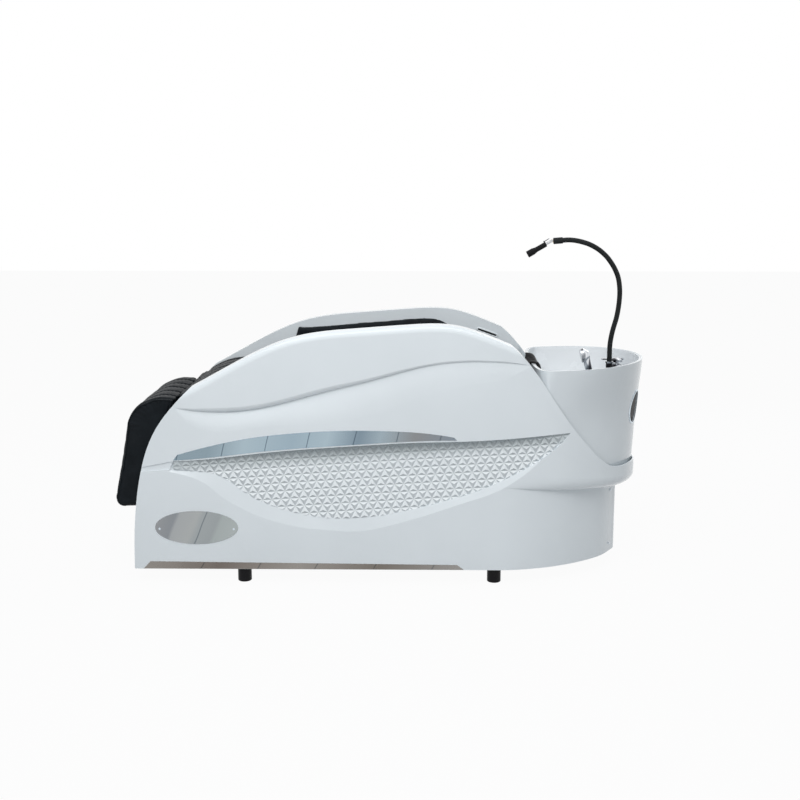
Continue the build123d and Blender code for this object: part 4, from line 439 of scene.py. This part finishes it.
def stuffed(node, name, body, slot, voxel, shrink, pressure, cap):
    """A padded cover over a CAD form.

    The form is remeshed, smoothed and shrunk, then cloth pressure blows it up. No point moves
    further than the cap, and pressure says how firm the filling is.
    """
    mesh = nodes[node].data.copy()
    mesh.name = name
    piece = add_object(name, mesh, slot, body)
    only(piece)
    remesh = piece.modifiers.new("remesh", "REMESH")
    remesh.mode = "VOXEL"
    remesh.voxel_size = voxel
    bpy.ops.object.modifier_apply(modifier="remesh")
    for _ in range(2):
        smooth = piece.modifiers.new("smooth", "SMOOTH")
        smooth.iterations = 4
        bpy.ops.object.modifier_apply(modifier="smooth")
    normals = [v.normal.copy() for v in piece.data.vertices]
    for vertex, normal in zip(piece.data.vertices, normals):
        vertex.co -= normal * shrink
    start = [v.co.copy() for v in piece.data.vertices]
    cloth = piece.modifiers.new("cloth", "CLOTH")
    cloth.settings.use_pressure = True
    cloth.settings.uniform_pressure_force = pressure
    cloth.settings.effector_weights.gravity = 0.0
    cloth.settings.quality = 4
    scene.frame_start, scene.frame_end = 1, cloth_frames
    for step in range(1, cloth_frames + 1):
        scene.frame_set(step)
    bpy.ops.object.modifier_apply(modifier="cloth")
    scene.frame_set(1)
    for vertex, origin in zip(piece.data.vertices, start):
        moved = vertex.co - origin
        if moved.length > cap:
            vertex.co = origin + moved * (cap / moved.length)
    piece.data.shade_smooth()
    piece.data.materials.clear()
    piece.data.materials.append(looks[slot])
    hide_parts(node)
    return piece


def press(piece, rule):
    """Move each point along its normal by what rule(point, normal) returns."""
    mesh = piece.data
    normals = [v.normal.copy() for v in mesh.vertices]
    for vertex, normal in zip(mesh.vertices, normals):
        vertex.co += normal * rule(vertex.co, normal)
    mesh.update()


def finer(piece):
    """One round of subdivision."""
    only(piece)
    more = piece.modifiers.new("finer", "SUBSURF")
    more.levels = more.render_levels = 1
    bpy.ops.object.modifier_apply(modifier="finer")
    piece.data.shade_smooth()


def groove(distance, width, depth):
    """A rounded sewn channel."""
    return -depth * math.exp(-(distance / width) ** 2)


def nearest(value, places):
    """Distance to the nearest of some places."""
    return min(abs(value - place) for place in places)


def skin(piece):
    """A tree for finding points on a piece's surface."""
    mesh = piece.data
    corners = [v.co.copy() for v in mesh.vertices]
    return BVHTree.FromPolygons(corners, [p.vertices[:] for p in mesh.polygons])


def hits(tree, rays):
    """Surface points, with their normals, where rays of (origin, direction) meet a skin."""
    found = []
    for origin, direction in rays:
        place, normal, _, _ = tree.ray_cast(Vector(origin), Vector(direction).normalized())
        if place is not None:
            found.append((place, normal))
    return found


def edge_hits(tree, stations, reach=(-0.026, 0.006), step=0.002):
    """Points along a rounded corner: for each (base, outward, ray), the one furthest out."""
    found = []
    back_off, longest = 0.3, 0.36
    for base, outward, ray in stations:
        base, outward, ray = Vector(base), Vector(outward).normalized(), Vector(ray).normalized()
        best, best_score = None, -math.inf
        for k in range(int((reach[1] - reach[0]) / step) + 1):
            origin = base + outward * (reach[0] + k * step) - ray * back_off
            place = tree.ray_cast(origin, ray)[0]
            if place is None or (place - origin).length > longest:
                continue
            score = (place - base).dot(outward - ray)
            if score > best_score:
                best, best_score = place, score
        if best is not None:
            found.append(best)
    return found


def tube(name, points, radius, body, slot, closed=False):
    """A round cord along a smooth line led by the points."""
    curve = bpy.data.curves.new(name + "_line", "CURVE")
    curve.dimensions = "3D"
    curve.bevel_depth = radius
    curve.bevel_resolution = 3
    curve.resolution_u = 4
    curve.use_fill_caps = not closed
    spline = curve.splines.new("NURBS")
    spline.points.add(len(points) - 1)
    for knot, point in zip(spline.points, points):
        knot.co = (*point, 1.0)
    spline.use_cyclic_u = closed
    spline.use_endpoint_u = not closed
    spline.order_u = 3
    holder = bpy.data.objects.new(name + "_line", curve)
    scene.collection.objects.link(holder)
    bpy.context.view_layer.update()
    mesh = bpy.data.meshes.new_from_object(holder)
    mesh.name = name
    bpy.data.objects.remove(holder)
    mesh.shade_smooth()
    return add_object(name, mesh, slot, body)


def stitching(name, lines, body, slot, pitch=0.0065, length=0.0042, thick=0.0006):
    """Thread stitches along lines of (point, normal), each a slim spindle with six corners."""
    lift = 0.0002
    form = bmesh.new()
    for line in lines:
        spare = 0.0
        for (first, first_normal), (second, _) in zip(line, line[1:]):
            along = second - first
            reach = along.length
            if reach < 1e-6:
                continue
            along.normalize()
            across = first_normal.cross(along).normalized()
            place = spare
            while place + length < reach + 0.5 * pitch:
                middle = first + along * (place + 0.5 * length) + first_normal * lift
                ring = [form.verts.new(middle + offset * thick) for offset in
                        (across, first_normal, -across, -first_normal)]
                tips = [form.verts.new(middle + along * (way * 0.5 * length)) for way in (-1, 1)]
                for one, two in zip(ring, ring[1:] + ring[:1]):
                    form.faces.new((one, two, tips[1]))
                    form.faces.new((two, one, tips[0]))
                place += pitch
            spare = max(0.0, place - reach)
    mesh = bpy.data.meshes.new(name)
    form.to_mesh(mesh)
    form.free()
    mesh.shade_smooth()
    add_object(name, mesh, slot, body)
    mesh.materials.clear()
    mesh.materials.append(stitch_thread)


# Sewing plan of the seat, back and leg rest covers: places across the bed, in metres
cover_half = 0.249
side_seam = 0.226
channel_gap = 0.083
channels = [channel_gap * step for step in range(-2, 3)]
piping_radius = 0.0034
stitch_offset = 0.007
stitched_seams = [c + side * stitch_offset for c in channels for side in (-1, 1)]


def rise(value, start, length):
    """Zero up to a start, one from a length further on, straight between."""
    return max(0.0, min(1.0, (value - start) / length))


def quilted(point, depth):
    """Long sewn channels with a soft crown between them, and a seam near each side."""
    crown_height, channel_width, seam_width = 0.0026, 0.0055, 0.005
    across = nearest(point.y, channels)
    inside = abs(point.y) < side_seam
    crown = crown_height * math.sin(math.pi * min(across / channel_gap, 0.5)) if inside else 0.0
    move = crown + groove(across, channel_width, depth)
    return move + groove(abs(point.y) - side_seam, seam_width, 0.6 * depth)


def puckers(point, along, height):
    """Small creases across a cover, strongest beside its channels."""
    reach, pitch = 0.022, 420.0
    pull = math.exp(-(nearest(point.y, channels) / reach) ** 2)
    return height * pull * math.sin(along * pitch + 5.0 * noise.noise(point * 7.0))


def lying_rule(low_x, high_x):
    """Channels along a seat or back cushion, a cross seam near each end, and slight creases."""
    end_zone, end_fullness = 0.02, 0.006
    seam_inset, seam_width, seam_depth = 0.034, 0.005, 0.0045
    channel_start, channel_fade, channel_depth = 0.030, 0.012, 0.0070
    pucker_height, uneven = 0.0007, 0.0014

    def rule(point, normal):
        to_end = min(point.x - low_x, high_x - point.x)
        if abs(normal.x) > 0.25 and normal.z > 0.1 and to_end < end_zone:
            return end_fullness * abs(normal.x)
        top = rise(normal.z, 0.3, 0.4)
        move = quilted(point, channel_depth) * rise(to_end, channel_start, channel_fade)
        move += groove(to_end - seam_inset, seam_width, seam_depth)
        move += puckers(point, point.x, pucker_height)
        return top * (move + uneven * noise.noise(point * 12.0))
    return rule


def lying_cushion(node, name):
    """A quilted seat or back cushion, with piping round its top edge and stitched seams."""
    piece = stuffed(node, name, "root", "leather", voxel=0.009, shrink=0.004, pressure=4.0,
                    cap=0.007)
    finer(piece)
    spread = [v.co.x for v in piece.data.vertices]
    low_x, high_x = min(spread), max(spread)
    press(piece, lying_rule(low_x, high_x))
    tree = skin(piece)

    # Piping: stations round the plan, each at the height of the cover just inside it
    above = 1.4
    edge, corner, spacing = 0.007, 0.022, 0.018
    inset = edge + corner
    middle_x, top_y = 0.5 * (low_x + high_x), cover_half - inset
    plan = []
    for corner_x, corner_y, start in ((high_x - inset, top_y, 0), (low_x + inset, top_y, 90),
                                      (low_x + inset, -top_y, 180), (high_x - inset, -top_y, 270)):
        for turn in (0, 30, 60, 90):
            angle = math.radians(start + turn)
            way = (math.cos(angle), math.sin(angle))
            plan.append((corner_x + corner * way[0], corner_y + corner * way[1], way))
    stations = []
    for (x0, y0, way), (x1, y1, next_way) in zip(plan, plan[1:] + plan[:1]):
        pieces = max(1, round(math.hypot(x1 - x0, y1 - y0) / spacing))
        for k in range(pieces):
            x, y = x0 + (x1 - x0) * k / pieces, y0 + (y1 - y0) * k / pieces
            inner = Vector((0.96 * x + 0.04 * middle_x, 0.9 * y, above))
            top = tree.ray_cast(inner, Vector((0, 0, -1)))[0]
            stations.append(((x, y, top.z), (*(next_way if k else way), 0.0), (0, 0, -1)))
    tube(name + "_piping", edge_hits(tree, stations), piping_radius, "root", "leather", closed=True)

    # Stitches beside each long channel and side seam, and along the cross seams
    lines = []
    parts, seam_start, cross_stitches = 60, 0.040, 0.041
    beside_seam = side_seam - stitch_offset
    long_steps = [low_x + seam_start + (high_x - low_x - 2 * seam_start) * k / parts
                  for k in range(parts + 1)]
    cross_steps = [-side_seam + 2 * side_seam * k / parts for k in range(parts + 1)]
    for y in stitched_seams + [-beside_seam, beside_seam]:
        lines.append(hits(tree, [((x, y, above), (0, 0, -1)) for x in long_steps]))
    for x in (low_x + cross_stitches, high_x - cross_stitches):
        lines.append(hits(tree, [((x, y, above), (0, 0, -1)) for y in cross_steps]))
    stitching(name + "_stitches", lines, "root", "leather")


lying_cushion("seat_cushion", "seat_cover")
lying_cushion("back_cushion", "back_cover")

# Leg rest: channels over the knee and down the face, a piped edge, and a gathered side panel
knee = Vector((-0.790, 0.0, 0.560))
knee_reach = 0.113
knee_inside = 0.085
foot_top = 0.32
low_corner = Vector((-0.935, 0.0, 0.308))


def leg_rule(point, normal):
    """Long channels round the roll and face, and gathers fanning from the piping on each side."""
    uneven, channel_depth, pucker_height = 0.0012, 0.0075, 0.0008
    offset = Vector((point.x - knee.x, 0.0, point.z - knee.z))
    angle = math.atan2(offset.z, offset.x)
    move = uneven * noise.noise(point * 11.0)
    outward = rise(0.75 - abs(normal.y), 0.0, 0.35)
    if point.x < knee.x + 0.02 or offset.length > knee_inside:
        along = angle * knee_reach if point.z > knee.z else point.z
        move += outward * (quilted(point, channel_depth) + puckers(point, along, pucker_height))

    # Fuller towards the foot, under it, and at the rear edge of the roll
    low_fullness, foot_fullness, rear_fullness = 0.009, 0.019, 0.006
    low_start, low_full = 0.55, 0.25
    move += low_fullness * rise(low_start - point.z, 0.0, low_full) * max(0.0, -normal.x) * outward
    if point.z < foot_top:
        move += foot_fullness * max(0.0, -normal.z)
    if normal.x > 0.2 and point.z > knee.z + 0.05 and offset.length > knee_inside:
        move += rear_fullness * normal.x

    # Gathers of the side panels: none behind the roll or below it
    gather_depth, gather_count, gather_reach, gather_start = 0.0034, 34.0, 0.030, 0.9
    sideways = rise(abs(normal.y), 0.5, 0.3)
    if sideways > 0.0 and angle > gather_start and point.z > knee.z - 0.02:
        near_edge = math.exp(-((offset.length - knee_reach + 0.004) / gather_reach) ** 2)
        drift = 2.5 * noise.noise(Vector((angle * 3.0, point.y, 0.4)))
        fold = 0.5 + 0.5 * math.cos(angle * gather_count + drift)
        move -= sideways * near_edge * gather_depth * fold
    return move


leg = stuffed("legrest_cushion", "legrest_cover", "legrest", "leather", voxel=0.008,
              shrink=0.004, pressure=4.0, cap=0.007)
finer(leg)
press(leg, leg_rule)
leg_tree = skin(leg)


def leg_rays(y):
    """Rays onto the leg rest at one Y: over the roll, down the face, round the low corner."""
    def around(middle, angles, distance):
        ways = [Vector((math.cos(math.radians(angle)), 0.0, math.sin(math.radians(angle))))
                for angle in angles]
        return [(Vector((middle.x, y, middle.z)) + way * distance, -way) for way in ways]

    face_top, face_step, in_front = 0.548, 0.019, -1.2
    face = [((in_front, y, face_top - face_step * step), (1, 0, 0)) for step in range(13)]
    return (around(knee, range(60, 178, 6), distance=0.3) + face
            + around(low_corner, range(188, 272, 14), distance=0.2))


inside_piping = 0.215
leg_lines = []
for side, word in ((-1, "left"), (1, "right")):
    inner = leg_rays(side * inside_piping)
    bases = [place for place, _ in hits(leg_tree, inner)]
    stations = [((base.x, side * cover_half, base.z), (0, side, 0), ray)
                for base, (_, ray) in zip(bases, inner)]
    tube(f"legrest_{word}_piping", edge_hits(leg_tree, stations), piping_radius, "legrest",
         "leather")
    leg_lines.append(hits(leg_tree, leg_rays(side * (side_seam - stitch_offset))))
for y in stitched_seams:
    leg_lines.append(hits(leg_tree, leg_rays(y)))
stitching("legrest_stitches", leg_lines, "legrest", "leather")

# Side bolsters and neck pad
bolster_seams = [-0.185, 0.135]
bolster_edges = [-0.40, *bolster_seams, 0.31]
seam_foot, seam_step, seam_parts, beside_seam = 0.755, 0.0035, 42, 0.006


def bolster_rule(point, normal):
    """Three puffed panels between two upright seams."""
    puff_height, seam_width, seam_depth, uneven = 0.002, 0.004, 0.0045, 0.0010
    panels = zip(bolster_edges, bolster_edges[1:])
    span = next((high - low for low, high in panels if low <= point.x < high), 0.3)
    from_seam = 2.0 * nearest(point.x, bolster_edges) / span
    puff = puff_height * math.sin(math.pi * min(1.0, from_seam))
    move = groove(nearest(point.x, bolster_seams), seam_width, seam_depth)
    return rise(abs(normal.y), 0.3, 0.4) * (puff + move + uneven * noise.noise(point * 16.0))


for side, word in ((-1, "left"), (1, "right")):
    bolster = stuffed(f"{word}_side_bolster", f"{word}_bolster_cover", "root", "leather",
                      voxel=0.005, shrink=0.002, pressure=4.0, cap=0.004)
    finer(bolster)
    press(bolster, bolster_rule)
    tree = skin(bolster)
    heights = [seam_foot + seam_step * k for k in range(seam_parts)]
    lines = [hits(tree, [((x + gap, 0.0, z), (0, side, 0)) for z in heights])
             for x in bolster_seams for gap in (-beside_seam, beside_seam)]
    stitching(f"{word}_bolster_stitches", lines, "root", "leather")

neck = stuffed("neck_cushion", "neck_pad", "root", "neck_rubber", voxel=0.003, shrink=0.001,
               pressure=3.0, cap=0.002)
finer(neck)

# Grip slots on the inner walls of the arms: a rounded pale lip round a thin black plate, which is
# painted shade standing in for the shaded hollow of the slot
slot_start, slot_end = Vector((0.370, 0.0, 0.859)), Vector((0.438, 0.0, 0.835))
slot_half_height, lip_radius = 0.0058, 0.0026
lip_lift, plate_lift, plate_sink = 0.0006, 0.0010, 0.0015
slot_along = (slot_end - slot_start).normalized()
slot_up = Vector((-slot_along.z, 0.0, slot_along.x))
slot_outline = []
for centre, first in ((slot_end, -90), (slot_start, 90)):
    for turn in range(0, 181, 30):
        angle = math.radians(first + turn)
        slot_outline.append(centre + slot_along * (slot_half_height * math.cos(angle))
                            + slot_up * (slot_half_height * math.sin(angle)))

for side, word in ((-1, "left"), (1, "right")):
    wall_tree = skin(nodes[f"{word}_side_shell"])
    inward = Vector((0.0, -side, 0.0))
    rays = [((p.x, side * 0.2, p.z), -inward) for p in slot_outline]
    rim = [place for place, _ in hits(wall_tree, rays)]
    tube(f"{word}_grip_lip", [p + inward * lip_lift for p in rim], lip_radius, "root",
         "shell_plastic", closed=True)
    # Painted shade: a thin black plate where the slot's hollow lies in shade
    form = bmesh.new()
    front = [form.verts.new(p + inward * plate_lift) for p in rim]
    back = [form.verts.new(p - inward * plate_sink) for p in rim]
    form.faces.new(front)
    form.faces.new(list(reversed(back)))
    for k in range(len(rim)):
        after = (k + 1) % len(rim)
        form.faces.new((front[after], front[k], back[k], back[after]))
    bmesh.ops.recalc_face_normals(form, faces=form.faces)
    shade_plate_mesh = bpy.data.meshes.new(f"{word}_grip_shade_plate")
    form.to_mesh(shade_plate_mesh)
    form.free()
    add_object(f"{word}_grip_shade_plate", shade_plate_mesh, "black_plastic", "root")

# Floor and finish
floor_mesh = bpy.data.meshes.new("floor")
floor_half = 14.0
floor_mesh.from_pydata([(x * floor_half, y * floor_half, 0)
                        for x, y in ((-1, -1), (1, -1), (1, 1), (-1, 1))], [], [(0, 1, 2, 3)])
floor = bpy.data.objects.new("floor", floor_mesh)
scene.collection.objects.link(floor)
floor_look = bpy.data.materials.new("pale_floor")
floor_look.use_nodes = True
tree = floor_look.node_tree
tree.nodes.clear()
lit = tree.nodes.new("ShaderNodeBsdfDiffuse")
lit.inputs["Color"].default_value = (0.50, 0.51, 0.52, 1.0)
glow = tree.nodes.new("ShaderNodeEmission")
glow.inputs["Color"].default_value = (1.0, 1.0, 1.0, 1.0)
glow.inputs["Strength"].default_value = 1.0

# The camera sees nearly plain white: the rest of the share is real light, for the shadow
white_share = 0.955
seen = any_ray(tree, tree.nodes.new("ShaderNodeLightPath"))
mix = tree.nodes.new("ShaderNodeMixShader")
out = tree.nodes.new("ShaderNodeOutputMaterial")
tree.links.new(maths(tree, "MULTIPLY", seen, white_share), mix.inputs[0])
tree.links.new(lit.outputs[0], mix.inputs[1])
tree.links.new(glow.outputs[0], mix.inputs[2])
tree.links.new(mix.outputs[0], out.inputs["Surface"])
floor_mesh.materials.append(floor_look)
